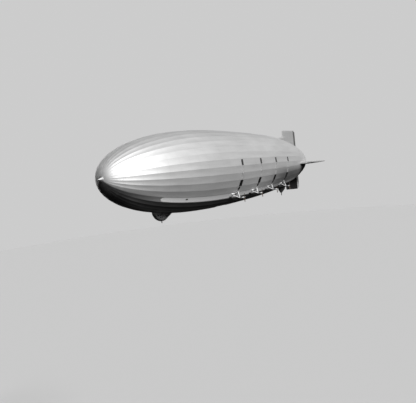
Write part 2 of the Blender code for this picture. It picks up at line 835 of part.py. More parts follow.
def build_car(parts, cutters, trim):
    """Hollow control car with its windows cut, and a door in its port side."""
    finish = material("control_car", (0.55, 0.55, 0.54), 0.4, 0.4)
    gap = RUNNING_GAP / SCALE
    room = as_cutter(add(cutters, "car_room", car_solid("car_room", CAR_WALL)))
    x_front, x_back = x_at(DOOR_START) / SCALE, x_at(DOOR_END) / SCALE
    wide = CAR_WIDEST + TOOL_MARGIN
    hinge_y = car_size(DOOR_START)[0] + DOOR_HINGE_OUT
    middle = (DOOR_BOTTOM + DOOR_TOP) / 2.0
    half = DOOR_KNUCKLE_LENGTH / 2.0
    seat = SEAT_GAP / SCALE

    def knuckle(name, low, high, leaf_sign):
        """Knuckle on the door's axis and its strap, aft for the leaf and ahead for the car."""
        start, end = (x_front, hinge_y, -low), (x_front, hinge_y, -high)
        barrel = rod(name, start, end, DOOR_KNUCKLE_RADIUS, DOOR_KNUCKLE_RADIUS, 10)
        near, far = sorted((x_front - leaf_sign * DOOR_STRAP_START, x_front - leaf_sign * DOOR_STRAP_LENGTH))
        deep, shallow = DOOR_STRAP_INSET - low, -DOOR_STRAP_INSET - high
        strap = box(name, (near, hinge_y - DOOR_STRAP_DEPTH, deep), (far, hinge_y + FORK_OVERLAP, shallow))
        pieces = (("barrel", barrel), ("strap", strap))
        return [as_cutter(add(cutters, f"{name}_{part}", mesh)) for part, mesh in pieces]

    car = add(parts, "control_car", car_solid("control_car", 0.0), finish)
    boolean(car, "DIFFERENCE", room)
    for row, (low, high, first, last, reach) in enumerate(CAR_WINDOW_ROWS, 1):
        for number, station in enumerate(CAR_WINDOW_STATIONS[first:last], 1):
            name = f"car_window_{row}_{number}"
            x_rear, x_lead = x_at(station + CAR_WINDOW_WIDTH) / SCALE, x_at(station) / SCALE
            corners = (x_rear, -wide, -low), (x_lead, wide, -high)
            boolean(car, "DIFFERENCE", as_cutter(add(cutters, name, box(name, *corners))))
        name = f"car_front_window_{row}"
        x_nose, x_in = x_at(CAR_SECTIONS[0][0] - 1.0) / SCALE, x_at(reach) / SCALE
        corners = (x_in, -CAR_FRONT_WINDOW_HALF, -low), (x_nose, CAR_FRONT_WINDOW_HALF, -high)
        boolean(car, "DIFFERENCE", as_cutter(add(cutters, name, box(name, *corners))))
    doorway = box("doorway", (x_back, 0.0, -DOOR_BOTTOM), (x_front, wide, -DOOR_TOP))
    boolean(car, "DIFFERENCE", as_cutter(add(cutters, "doorway", doorway)))
    for tool in knuckle("car_knuckle", middle + half, middle - half, -1.0):
        boolean(car, "UNION", tool)
    boolean(car, "DIFFERENCE", trim)

    leaf_low = (x_back + gap, TOOL_MARGIN, gap - DOOR_BOTTOM)
    leaf_high = (x_front - gap, wide, -DOOR_TOP - gap)
    leaf_box = box("door_blank", leaf_low, leaf_high)
    leaf = add(parts, "car_door", leaf_box, material("car_door", (0.50, 0.50, 0.49), 0.4, 0.4))
    outer = as_cutter(add(cutters, "door_outer", car_solid("door_outer", 0.0)))
    boolean(leaf, "INTERSECT", outer)
    boolean(leaf, "DIFFERENCE", room)
    for name, low, high in (
        ("door_knuckle_low", middle + half * 3.0, middle + half + seat),
        ("door_knuckle_high", middle - half - seat, middle - half * 3.0),
    ):
        for tool in knuckle(name, low, high, 1.0):
            boolean(leaf, "UNION", tool)


def wheel_mesh(name, radius):
    """Wheel about Y with a rounded tread and a hub that stands out on both sides."""
    half = radius * WHEEL_WIDTH_SHARE / 2.0
    profile = [
        # along the axle, radius
        (half, 0.0),
        (half, radius * RIM_SHARE),
        (half * TREAD_SHARE, radius),
        (-half * TREAD_SHARE, radius),
        (-half, radius * RIM_SHARE),
        (-half, 0.0),
    ]
    mesh = bpy.data.meshes.new(name)
    shape = bmesh.new()
    points = [shape.verts.new((r * SCALE, 0.0, along * SCALE)) for along, r in profile]
    edges = [shape.edges.new((points[i], points[i + 1])) for i in range(len(points) - 1)]
    bmesh.ops.spin(
        shape,
        geom=points + edges,
        axis=(0.0, 0.0, 1.0),
        cent=(0.0, 0.0, 0.0),
        steps=WHEEL_SIDES,
        angle=2.0 * math.pi,
    )
    bmesh.ops.remove_doubles(shape, verts=shape.verts, dist=0.00005)
    bmesh.ops.recalc_face_normals(shape, faces=shape.faces)
    axle = Matrix.Rotation(math.radians(90.0), 3, "X")
    bmesh.ops.rotate(shape, cent=(0.0, 0.0, 0.0), matrix=axle, verts=shape.verts)
    shape.to_mesh(mesh)
    shape.free()
    return smooth(mesh)


def fork_pieces(name, station, axle_height, wheel_radius, top_height):
    """Crown and two legs of a fork that hold a wheel by its axle's ends."""
    x = x_at(station) / SCALE
    half = wheel_radius * WHEEL_WIDTH_SHARE / 2.0
    inner = half + SEAT_GAP / SCALE
    outer = inner + FORK_THICKNESS
    width = wheel_radius * FORK_WIDTH_SHARE
    crown_low = axle_height - wheel_radius - FORK_ROOM
    boss = width * BOSS_SHARE
    pieces = [box(name, (x - width, -outer, -crown_low), (x + width, outer, -top_height))]
    for _, sign in SIDES:
        near, far = sorted((sign * (half + LEG_CLEARANCE), sign * outer))
        high = -crown_low + FORK_OVERLAP
        pieces.append(box(name, (x - width, near, -axle_height - width), (x + width, far, high)))
        near, far = sorted((sign * inner, sign * (outer - FORK_OVERLAP)))
        pieces.append(rod(name, (x, near, -axle_height), (x, far, -axle_height), boss, boss, BOSS_SIDES))
    return pieces


def build_wheels(parts, cutters, trim):
    """Landing wheel under the control car, and the one on the pylon ahead of the lower fin."""
    metal = material("wheel_fork", (0.20, 0.20, 0.20), 0.5, 0.6)
    tyre = material("landing_wheel", (0.05, 0.05, 0.05), 0.7)
    pylon_finish = material("tail_pylon", (0.14, 0.14, 0.14), 0.55, 0.2)

    car_bottom = car_size(CAR_WHEEL_STATION + CAR_WHEEL_RADIUS * FORK_WIDTH_SHARE)[1] + SEAT_GAP / SCALE
    pieces = fork_pieces("car_wheel_fork", CAR_WHEEL_STATION, CAR_WHEEL_HEIGHT, CAR_WHEEL_RADIUS, car_bottom)
    from_operands(parts, cutters, "car_wheel_fork", metal, pieces)

    rings = []
    for height, lead, trail, thickness in PYLON_RINGS:
        ring = [(x_at(lead) / SCALE, PYLON_EDGE, -height)]
        for share, fullness in PYLON_SECTION:
            station = lead + (trail - lead) * share
            ring.append((x_at(station) / SCALE, thickness / 2.0 * fullness, -height))
        ring.append((x_at(trail) / SCALE, PYLON_EDGE, -height))
        rings.append(ring + [(x, -y, z) for x, y, z in reversed(ring)])
    fork_top = PYLON_RINGS[-1][0] - PYLON_OVERLAP
    fork = fork_pieces("tail_pylon", TAIL_WHEEL_STATION, TAIL_WHEEL_HEIGHT, TAIL_WHEEL_RADIUS, fork_top)
    body = triangulated(loft("tail_pylon", rings))
    pylon = from_operands(parts, cutters, "tail_pylon", pylon_finish, [body, *fork])
    boolean(pylon, "DIFFERENCE", trim)

    for name, station, height, radius in (
        ("car_wheel", CAR_WHEEL_STATION, CAR_WHEEL_HEIGHT, CAR_WHEEL_RADIUS),
        ("tail_wheel", TAIL_WHEEL_STATION, TAIL_WHEEL_HEIGHT, TAIL_WHEEL_RADIUS),
    ):
        wheel = add(parts, name, wheel_mesh(name, radius), tyre)
        wheel.location = (x_at(station), 0.0, -height * SCALE)


def main():
    """Builds the whole model in an empty scene."""
    for old in list(bpy.data.objects):
        bpy.data.objects.remove(old)
    parts = collection(NAME)
    cutters = collection("cutters")
    trim = hull_tools(cutters)
    build_hull(parts, cutters)
    build_bow(parts, cutters, trim)
    build_tail_cone(parts)
    build_hangar(parts)
    build_condensers(parts, trim)
    build_outriggers(parts, cutters, trim)
    build_drives(parts, cutters)
    build_fins(parts, cutters, trim)
    build_car(parts, cutters, trim)
    build_wheels(parts, cutters, trim)


main()
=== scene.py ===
"""The looks of a rigid airship, one tenth of full size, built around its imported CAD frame.

Sizes are given in the ship's own metres and come down to the model by SCALE. A station is a
distance aft of the tip of the mooring cone, a height is a distance from the hull's axis, and an
angle is measured up from the port beam. X points to the bow, Y to port and Z up. A number called
slot is a finish's place among the looks of its piece.
"""

from __future__ import annotations

import logging
import math
from collections.abc import Sequence
from dataclasses import dataclass
from enum import Enum

import bmesh
import bpy
import numpy as np
from mathutils import Matrix, Vector

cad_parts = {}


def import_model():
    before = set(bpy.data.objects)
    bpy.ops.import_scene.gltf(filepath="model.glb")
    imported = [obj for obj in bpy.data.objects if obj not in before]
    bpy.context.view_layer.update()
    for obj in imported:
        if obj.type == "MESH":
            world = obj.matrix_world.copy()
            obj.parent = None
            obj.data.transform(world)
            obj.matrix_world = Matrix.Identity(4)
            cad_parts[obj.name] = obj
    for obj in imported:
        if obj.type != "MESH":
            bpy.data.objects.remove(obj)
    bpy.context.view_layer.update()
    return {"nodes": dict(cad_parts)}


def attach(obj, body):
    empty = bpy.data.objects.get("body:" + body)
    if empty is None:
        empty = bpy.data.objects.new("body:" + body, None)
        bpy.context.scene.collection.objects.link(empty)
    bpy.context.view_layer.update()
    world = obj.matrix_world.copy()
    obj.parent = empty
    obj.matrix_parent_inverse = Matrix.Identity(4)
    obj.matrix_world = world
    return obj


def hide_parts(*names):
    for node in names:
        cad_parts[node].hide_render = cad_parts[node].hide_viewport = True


LOG = logging.getLogger("airship")

# Model metres in one metre of the ship, and the station of the frame's origin
SCALE = 0.1
ORIGIN_STATION = 110.0
# Room between pieces that meet
SEAT = 0.003
# Body that carries everything without a joint
SHIP = "ship"
ENGINE_STATIONS = (74.5, 97.0, 119.5, 142.0)

Place = tuple[float, float, float]
Colour = tuple[float, float, float]
Row = tuple[float, ...]
Table = tuple[Row, ...]


class Side(Enum):
    """Side of the ship, with the sign of Y on it."""

    PORT = 1.0
    STARBOARD = -1.0

    @property
    def word(self) -> str:
        """Name of the side as the CAD nodes spell it."""
        return self.name.lower()


class Slot(Enum):
    """Material slots of the record."""

    COVER = "cover"
    BOW_CAP = "bow_cap"
    MOORING = "mooring_steel"
    TAIL_CONE = "tail_cone"
    LEAF = "hangar_leaf"
    RAIL = "hangar_rail"
    CONDENSER = "condenser"
    OUTRIGGER = "outrigger"
    GEARBOX = "gearbox"
    PROPELLER = "propeller_wood"
    FIN = "fin_cover"
    SURFACE = "control_surface"
    CAR = "car_shell"
    FORK = "wheel_fork"
    WHEEL = "landing_wheel"
    PYLON = "tail_pylon"


# Points, grids and sweeps


def x_of(station: np.ndarray | float) -> np.ndarray | float:
    """Place along the ship of a station, in the ship's metres from the origin."""
    return ORIGIN_STATION - station


def polar(station: np.ndarray, height: np.ndarray, angle: np.ndarray) -> np.ndarray:
    """Points x, h cos a, h sin a at heights h and angles a in degrees, x, y, z on the last axis."""
    station, height, angle = np.broadcast_arrays(station, height, np.radians(angle))
    return np.stack([x_of(station), height * np.cos(angle), height * np.sin(angle)], axis=-1)


def straight_through(table: Table, at: np.ndarray) -> np.ndarray:
    """Values at places on straight lines through a table's pairs of place and value."""
    return np.interp(at, *zip(*table))


def smooth_through(table: Table, at: np.ndarray, column: int = 1) -> np.ndarray:
    """Smooth curve through a table: cubic pieces whose slopes are those of the neighbours.

    Args:
        table: Rows that begin with a rising place.
        at: Places where the curve is wanted.
        column: Column of the values.

    Returns:
        The curve's values.
    """
    rows = np.array(table, float)
    xs, ys = rows[:, 0], rows[:, column]
    slope = np.gradient(ys, xs)
    at = np.clip(at, xs[0], xs[-1])
    i = np.clip(np.searchsorted(xs, at, side="right") - 1, 0, len(xs) - 2)
    width = xs[i + 1] - xs[i]
    t = (at - xs[i]) / width
    start = (2 * t**3 - 3 * t**2 + 1) * ys[i] + (t**3 - 2 * t**2 + t) * width * slope[i]
    return start + (3 * t**2 - 2 * t**3) * ys[i + 1] + (t**3 - t**2) * width * slope[i + 1]


def eased(count: int) -> np.ndarray:
    """One row of shares from nought to one, close together at both ends: (1 - cos t) / 2."""
    return (1.0 - np.cos(np.linspace(0.0, math.pi, count)))[None, :] / 2.0


def turns(count: int) -> np.ndarray:
    """Angles in radians at equal steps round a circle."""
    return 2.0 * math.pi * np.arange(count) / count


def teardrop(count: int, thickness: float) -> np.ndarray:
    """Streamlined section: ahead cos t, across thickness sin t (0.7 + 0.3 cos t)."""
    turn = turns(count)
    return np.stack([np.cos(turn), thickness * np.sin(turn) * (0.7 + 0.3 * np.cos(turn))], axis=-1)


def circle(count: int) -> np.ndarray:
    """Round section of radius one: ahead cos t, across sin t."""
    return np.stack([np.cos(turns(count)), np.sin(turns(count))], axis=-1)


def both_sides(port: np.ndarray, last: int = -1) -> np.ndarray:
    """Rows of points on the port side, then the same from the point numbered last, mirrored in Y."""
    return np.concatenate([port, port[:, last::-1] * (1.0, -1.0, 1.0)], axis=1)


def grid_faces(rows: int, columns: int, closed: bool) -> np.ndarray:
    """Quads between neighbours of a grid, a point's number being row times columns plus column.

    Args:
        rows: Number of rows of points.
        columns: Number of points in a row.
        closed: Whether the last column joins the first.

    Returns:
        An array of faces, four point numbers each.
    """
    across = columns if closed else columns - 1
    row, column = np.meshgrid(np.arange(rows - 1), np.arange(across), indexing="ij")
    here, below = row * columns, (row + 1) * columns
    after = (column + 1) % columns
    return np.stack([here + column, here + after, below + after, below + column], axis=-1).reshape(-1, 4)


def rim_edges(faces: np.ndarray, count: int) -> np.ndarray:
    """Finds the edges that only one face uses.

    Args:
        faces: Point numbers of the faces.
        count: Number of points.

    Returns:
        Pairs of point numbers, each in its face's direction.
    """
    starts = faces.ravel()
    ends = np.roll(faces, -1, axis=1).ravel()
    alone = ~np.isin(starts * count + ends, ends * count + starts)
    return np.stack([starts[alone], ends[alone]], axis=-1)


class Bag:
    """Gathers the points and faces of one piece. What adds to it returns it, so calls can be chained."""

    def __init__(self) -> None:
        """Starts empty."""
        self.points: list[np.ndarray] = []
        self.faces: list[list[int]] = []
        self.slots: list[int] = []
        self.count = 0

    def add(self, points: np.ndarray, faces: np.ndarray, slot: int = 0) -> Bag:
        """Adds points in the ship's metres and the faces between them.

        Args:
            points: Array whose last axis is x, y, z.
            faces: Array of faces, which counts these points from nought.
            slot: Number of the finish.

        Returns:
            The bag.
        """
        flat = np.asarray(points, float).reshape(-1, 3)
        self.points.append(flat)
        self.faces.extend((np.asarray(faces) + self.count).tolist())
        self.slots.extend([slot] * len(faces))
        self.count += len(flat)
        return self

    def rings(self, rings: np.ndarray, slot: int = 0) -> Bag:
        """Adds a skin through rings of equal count, with its two ends closed.

        Args:
            rings: Array of rings by points by x, y, z.
            slot: Number of the finish.

        Returns:
            The bag.
        """
        rows, columns = rings.shape[:2]
        self.add(rings, grid_faces(rows, columns, True), slot)
        first, last = self.count - rows * columns, self.count - columns
        self.faces.append(list(range(first, first + columns))[::-1])
        self.faces.append(list(range(last, self.count)))
        self.slots.extend([slot, slot])
        return self

    def shell(
        self, outer: np.ndarray, inner: np.ndarray, closed: bool, keep: np.ndarray, slot: int = 0
    ) -> Bag:
        """Adds a wall between two grids, open where keep is false, with every rim closed.

        Args:
            outer: Grid of outer points.
            inner: Grid of inner points, of the same shape.
            closed: Whether the last column joins the first.
            keep: Truth for each face of the grid.
            slot: Number of the finish.

        Returns:
            The bag.
        """
        rows, columns = outer.shape[:2]
        count = rows * columns
        front = grid_faces(rows, columns, closed)[keep.ravel()]
        near, far = rim_edges(front, count).T
        rims = np.stack([far, near, near + count, far + count], axis=-1)
        faces = np.concatenate([front, front[:, ::-1] + count, rims])
        return self.add(np.concatenate([outer.reshape(-1, 3), inner.reshape(-1, 3)]), faces, slot)

    def bar(
        self, start: Place, end: Place, profile: Sequence[Row], section: np.ndarray,
        slot: int = 0, size: float = 1.0,
    ) -> Bag:
        """Adds a straight bar: the section at each share of the length, times its size there.

        Args:
            start: Place of the near end.
            end: Place of the far end.
            profile: Pairs of a share of the length and a size.
            section: Pairs ahead and across of the section of size one.
            slot: Number of the finish.
            size: Factor on every size.

        Returns:
            The bag.
        """
        start, end = np.array(start, float), np.array(end, float)
        axis = (end - start) / np.linalg.norm(end - start)
        guide = np.array([1.0, 0.0, 0.0]) if abs(axis[0]) < 0.95 else np.array([0.0, 0.0, 1.0])
        ahead = guide - axis * (guide @ axis)
        ahead /= np.linalg.norm(ahead)
        shares, sizes = np.array(profile, float).T
        centre = start + shares[:, None] * (end - start)
        offset = section[:, :1] * ahead + section[:, 1:] * np.cross(axis, ahead)
        return self.rings(centre[:, None, :] + size * sizes[:, None, None] * offset[None, :, :], slot)

    def rod(self, start: Place, end: Place, radius: float, count: int, slot: int = 0) -> Bag:
        """Adds a straight bar of one radius with a number of sides."""
        return self.bar(start, end, ((0.0, radius), (1.0, radius)), circle(count), slot)

    def bolts(
        self, span: Row, radius: float, count: int, profile: Table, slot: int = 0, first: float = 0.0
    ) -> Bag:
        """Adds a ring of six-sided bolt heads about the X axis.

        Args:
            span: Places along X of their feet and tops.
            radius: Radius of the ring.
            count: Number of bolts.
            profile: Pairs of a share of the length and a radius.
            slot: Number of the finish.
            first: Share of a step by which the first bolt is turned.

        Returns:
            The bag.
        """
        for turn in turns(count) + 2.0 * math.pi * first / count:
            y, z = radius * math.cos(turn), radius * math.sin(turn)
            self.bar((span[0], y, z), (span[1], y, z), profile, circle(6), slot)
        return self

    def block(self, low: Place, high: Place, slot: int = 0, bevel: float = 0.0) -> Bag:
        """Adds a slab between two corners.

        Args:
            low: One corner.
            high: The corner across.
            slot: Number of the finish.
            bevel: Width of the cut along its upright edges.

        Returns:
            The bag.
        """
        (x0, y0, z0), (x1, y1, z1) = np.minimum(low, high), np.maximum(low, high)
        b = bevel
        ring = [(x0 + b, y0), (x1 - b, y0), (x1, y0 + b), (x1, y1 - b)]
        ring += [(x1 - b, y1), (x0 + b, y1), (x0, y1 - b), (x0, y0 + b)]
        flat = np.array(ring if b else [(x0, y0), (x1, y0), (x1, y1), (x0, y1)])
        rows = [np.concatenate([flat, np.full((len(flat), 1), z)], axis=1) for z in (z0, z1)]
        return self.rings(np.array(rows), slot)

    def patch(self, span: Row, angles: Row, heights: Row, bevel: float = 0.0, slot: int = 0) -> Bag:
        """Adds a slab that lies along the cover, at heights over the cloth.

        Args:
            span: First and last station.
            angles: Angle where it starts and where it ends.
            heights: Heights of its bottom and top over the cloth.
            bevel: Width along the ship of the slope at its two ends.
            slot: Number of the finish.

        Returns:
            The bag.
        """
        count = max(2, math.ceil(abs(angles[1] - angles[0]) / PATCH_STEP) + 1)
        angle = np.linspace(*angles, count)[:, None]
        (start, end), (bottom, top) = span, heights
        station = np.array([[start, start + bevel, end - bevel, end]])
        height = np.array([[bottom, top, top, bottom]])
        return self.rings(polar(station, FORM.skin(station, angle) + height, angle), slot)

    def turned(self, matrix: Matrix) -> Bag:
        """Turns or moves everything gathered so far by a matrix in the ship's metres.

        Args:
            matrix: The matrix.

        Returns:
            The bag.
        """
        turn = np.array(matrix)
        self.points = [p @ turn[:3, :3].T + turn[:3, 3] for p in self.points]
        return self

    def on_side(self, side: Side) -> Bag:
        """Mirrors what was drawn for the port side when the side is starboard."""
        self.points = [p * (1.0, side.value, 1.0) for p in self.points]
        return self

    def piece(self, name: str, finishes: Sequence[bpy.types.Material], sharp: float) -> bpy.types.Object:
        """Makes the object, in the model's metres, with its faces turned outwards.

        Args:
            name: Name of the piece.
            finishes: Materials, in the order of the slots.
            sharp: Angle in degrees from which an edge stays sharp.

        Returns:
            The object, linked to the scene.
        """
        mesh = bpy.data.meshes.new(name)
        mesh.from_pydata((np.concatenate(self.points) * SCALE).tolist(), [], self.faces)
        mesh.polygons.foreach_set("material_index", np.array(self.slots, dtype=np.int32))
        shape = bmesh.new()
        shape.from_mesh(mesh)
        bmesh.ops.recalc_face_normals(shape, faces=shape.faces)
        shape.to_mesh(mesh)
        shape.free()
        mesh.shade_smooth()
        mesh.set_sharp_from_angle(angle=math.radians(sharp))
        for finish in finishes:
            mesh.materials.append(finish)
        made = bpy.data.objects.new(name, mesh)
        bpy.context.scene.collection.objects.link(made)
        LOG.info("%s: %d faces", name, len(mesh.polygons))
        return made


# The hull's form


@dataclass(frozen=True)
class HullForm:
    """Form of the hull: a body of 36 sides whose ridges follow two rounded powers."""

    length: float = 239.3
    radius: float = 20.25
    cone: float = 1.7
    fullest: float = 0.415
    bow_power: float = 2.85
    bow_round: float = 0.465
    tail_power: float = 2.65
    tail_round: float = 0.825
    gores: int = 36
    cap_end: float = 6.0
    tail_start: float = 231.0
    wall: float = 0.10
    main_frames: Row = (4.75, 16.75, 28.0, 45.5, 68.0, 90.5, 113.0, 135.5, 158.0, 180.5, 198.0, 215.5)
    bay: float = 5.7
    shares: Row = (0.0, 0.3, 0.5, 0.7)
    hollow_everywhere: float = 0.010
    hollow_at_bow: float = 0.036
    hollow_fade: float = 15.0

    @property
    def half(self) -> float:
        """Half of a gore's angle, in radians."""
        return math.pi / self.gores

    def radius_at(self, station: np.ndarray | float) -> np.ndarray:
        """Radius of the ridges.

        With t the share of the length and f the fullest place, it is R (1 - (1 - t/f)^p)^q
        ahead of f, and R (1 - a^p)^q aft of it, where a runs from nought at f to one.

        Args:
            station: Stations.

        Returns:
            The radii.
        """
        along = np.clip((np.asarray(station, float) - self.cone) / (self.length - self.cone), 0.0, 1.0)
        ahead = np.clip(1.0 - along / self.fullest, 0.0, 1.0)
        aft = np.clip((along - self.fullest) / (1.0 - self.fullest), 0.0, 1.0)
        bow = (1.0 - ahead**self.bow_power) ** self.bow_round
        tail = (1.0 - aft**self.tail_power) ** self.tail_round
        return self.radius * np.where(along < self.fullest, bow, tail)

    def flats_at(self, station: np.ndarray | float) -> np.ndarray:
        """Least height of the chords between the ridges."""
        return self.radius_at(station) * math.cos(self.half)

    def frames(self) -> np.ndarray:
        """Finds every frame, the main ones and those between them.

        Returns:
            Their stations.
        """
        ends = [*self.main_frames, self.tail_start]
        counts = [max(1, round((b - a) / self.bay)) for a, b in zip(ends, ends[1:])]
        return np.concatenate([np.linspace(a, b, n + 1)[:-1] for a, b, n in zip(ends, ends[1:], counts)])

    def hollow(self, station: np.ndarray) -> np.ndarray:
        """How far a gore's cloth lies inside the chord between its ridges, as a share of the chord."""
        fade = np.exp(-(station - self.cap_end) / self.hollow_fade)
        return self.hollow_everywhere + self.hollow_at_bow * fade

    def skin(self, station: np.ndarray, angle: np.ndarray) -> np.ndarray:
        """Height of the cloth: the chord's, less the hollow times the chord times 4 s (1 - s).

        Args:
            station: Stations.
            angle: Angles in degrees; s is the share of the way from one ridge to the next.

        Returns:
            The heights from the axis.
        """
        step = 360.0 / self.gores
        share = np.mod(angle, step) / step
        radius = self.radius_at(station)
        chord = radius * math.cos(self.half) / np.cos((2.0 * share - 1.0) * self.half)
        return chord - self.hollow(station) * 2.0 * self.half * radius * 4.0 * share * (1.0 - share)

    def cover(self, station: np.ndarray) -> np.ndarray:
        """Grid of points on the cover.

        A point is a share t of the way along the chord between two ridges, then goes inwards
        by the hollow times 4 t (1 - t).

        Args:
            station: Stations of the grid's rows.

        Returns:
            Array of stations by columns by x, y, z.
        """
        step = 2.0 * self.half
        ridge = -math.pi + step * np.arange(self.gores)[:, None]
        share = np.array(self.shares)[None, :]
        radius = self.radius_at(station)[:, None, None]
        y = (1.0 - share) * np.cos(ridge) + share * np.cos(ridge + step)
        z = (1.0 - share) * np.sin(ridge) + share * np.sin(ridge + step)
        dip = (self.hollow(station)[:, None, None] * step * radius) * 4.0 * share * (1.0 - share)
        middle = ridge + self.half
        x = np.broadcast_to(x_of(station)[:, None, None], (len(station), *y.shape))
        points = np.stack([x, radius * y - dip * np.cos(middle), radius * z - dip * np.sin(middle)], axis=-1)
        return points.reshape(len(station), -1, 3)

    def walled(self, rows: np.ndarray, keep: np.ndarray | None = None) -> Bag:
        """Bag with a length of the cover as a wall.

        Args:
            rows: Stations of its rows.
            keep: Truth for each face, or nothing for a wall without openings.

        Returns:
            The bag.
        """
        outer = self.cover(rows)
        inner = outer.copy()
        away = np.linalg.norm(outer[..., 1:], axis=-1, keepdims=True)
        inner[..., 1:] *= np.maximum(1.0 - self.wall / away, 0.3)
        if keep is None:
            keep = np.ones((len(rows) - 1, outer.shape[1]), bool)
        return Bag().shell(outer, inner, True, keep)


FORM = HullForm()
# Most degrees between two rings of a patch
PATCH_STEP = 1.25


# Nodes


Value = bpy.types.NodeSocket | float | tuple[float, ...]
Socket = bpy.types.NodeSocket


class Board:
    """Lays nodes and links in one node tree."""

    def __init__(self, tree: bpy.types.NodeTree) -> None:
        """Keeps the tree."""
        self.tree = tree

    @staticmethod
    def set_input(socket: Socket, value: Value) -> None:
        """Links a socket to an input, or sets the input to a constant.

        Args:
            socket: The input.
            value: The socket or the constant.
        """
        if isinstance(value, bpy.types.NodeSocket):
            socket.id_data.links.new(value, socket)
        elif isinstance(value, tuple) and len(value) == 3 and socket.type == "RGBA":
            socket.default_value = (*value, 1.0)
        else:
            socket.default_value = value

    def feed(self, node: bpy.types.Node, inputs: dict[str | int, Value]) -> bpy.types.Node:
        """Feeds a node's inputs.

        Args:
            node: The node.
            inputs: Sockets or constants by the input's name or number.

        Returns:
            The node.
        """
        for name, value in inputs.items():
            self.set_input(node.inputs[name], value)
        return node

    def node(self, kind: str, inputs: dict[str | int, Value], **settings: object) -> bpy.types.Node:
        """Adds a node.

        Args:
            kind: Its type.
            inputs: Sockets or constants by the input's name or number.
            settings: Its properties.

        Returns:
            The node.
        """
        made = self.tree.nodes.new(kind)
        for name, value in settings.items():
            setattr(made, name, value)
        return self.feed(made, inputs)

    def math(self, kind: str, a: Value, b: Value = 0.0, c: Value = 0.0, clamp: bool = False) -> Socket:
        """Result of a Math node."""
        return self.node("ShaderNodeMath", {0: a, 1: b, 2: c}, operation=kind, use_clamp=clamp).outputs[0]

    def product(self, first: Value, *others: Value) -> Socket:
        """Product of values.

        Args:
            first: The first of them.
            others: The others.

        Returns:
            The product.
        """
        for other in others:
            first = self.math("MULTIPLY", first, other)
        return first

    def ramp(self, value: Value, low: float, high: float) -> Socket:
        """Rises smoothly from nought at one value to one at another."""
        inputs = {0: value, 1: low, 2: high}
        return self.node("ShaderNodeMapRange", inputs, interpolation_type="SMOOTHSTEP").outputs[0]

    def mix(self, share: Value, first: Value, second: Value) -> Socket:
        """Mixes two colours by a share."""
        inputs = {0: share, 6: first, 7: second}
        return self.node("ShaderNodeMix", inputs, data_type="RGBA", clamp_factor=True).outputs[2]

    def place(self) -> Socket:
        """Object coordinates, in the model's metres."""
        return self.node("ShaderNodeTexCoord", {}).outputs["Object"]

    def parts(self, vector: Value) -> tuple[Socket, ...]:
        """The three parts of a vector."""
        return tuple(self.node("ShaderNodeSeparateXYZ", {0: vector}).outputs)

    def noise(self, stretch: Place, scale: float, detail: float, rough: float) -> Socket:
        """Value of a noise over Object coordinates.

        Args:
            stretch: Factors on X, Y and Z.
            scale: Factor on all three.
            detail: Number of finer layers.
            rough: Share of each finer layer.

        Returns:
            The noise, about one half.
        """
        inputs = {"Vector": self.place(), "Scale": stretch}
        place = self.node("ShaderNodeMapping", inputs, vector_type="POINT").outputs[0]
        inputs = {"Vector": place, "Scale": scale, "Detail": detail, "Roughness": rough}
        return self.node("ShaderNodeTexNoise", inputs).outputs["Fac"]

    def line(self, share: Value, half: float) -> Socket:
        """Mask of a line at both ends of a share that runs from nought to one."""
        edge = self.math("SUBTRACT", 0.5, self.math("ABSOLUTE", self.math("SUBTRACT", share, 0.5)))
        return self.ramp(edge, half, half * 0.4)

    def lines(self, value: Value, spacing: float, width: float) -> Socket:
        """Mask of lines of a width, a spacing apart, across a value in the ship's metres."""
        share = self.math("FRACT", self.math("MULTIPLY_ADD", value, 1.0 / spacing, 100.0))
        return self.line(share, width / spacing)

    def tint(self, weather: Value, tone: Colour, spread: float) -> Socket:
        """Colour of a tone, darkened and lightened by the weather.

        Args:
            weather: The weather's tone, about nought.
            tone: The colour.
            spread: Most change, as a share of the colour.

        Returns:
            The colour.
        """
        dark = tuple(c * (1.0 - spread) for c in tone)
        light = tuple(min(1.0, c * (1.0 + spread)) for c in tone)
        return self.mix(self.math("ADD", weather, 0.5, clamp=True), dark, light)

    def group(self, tree: bpy.types.NodeTree, **values: Value) -> bpy.types.Node:
        """Places a node group and feeds its inputs by their names."""
        return self.feed(self.node("ShaderNodeGroup", {}, node_tree=tree), values)


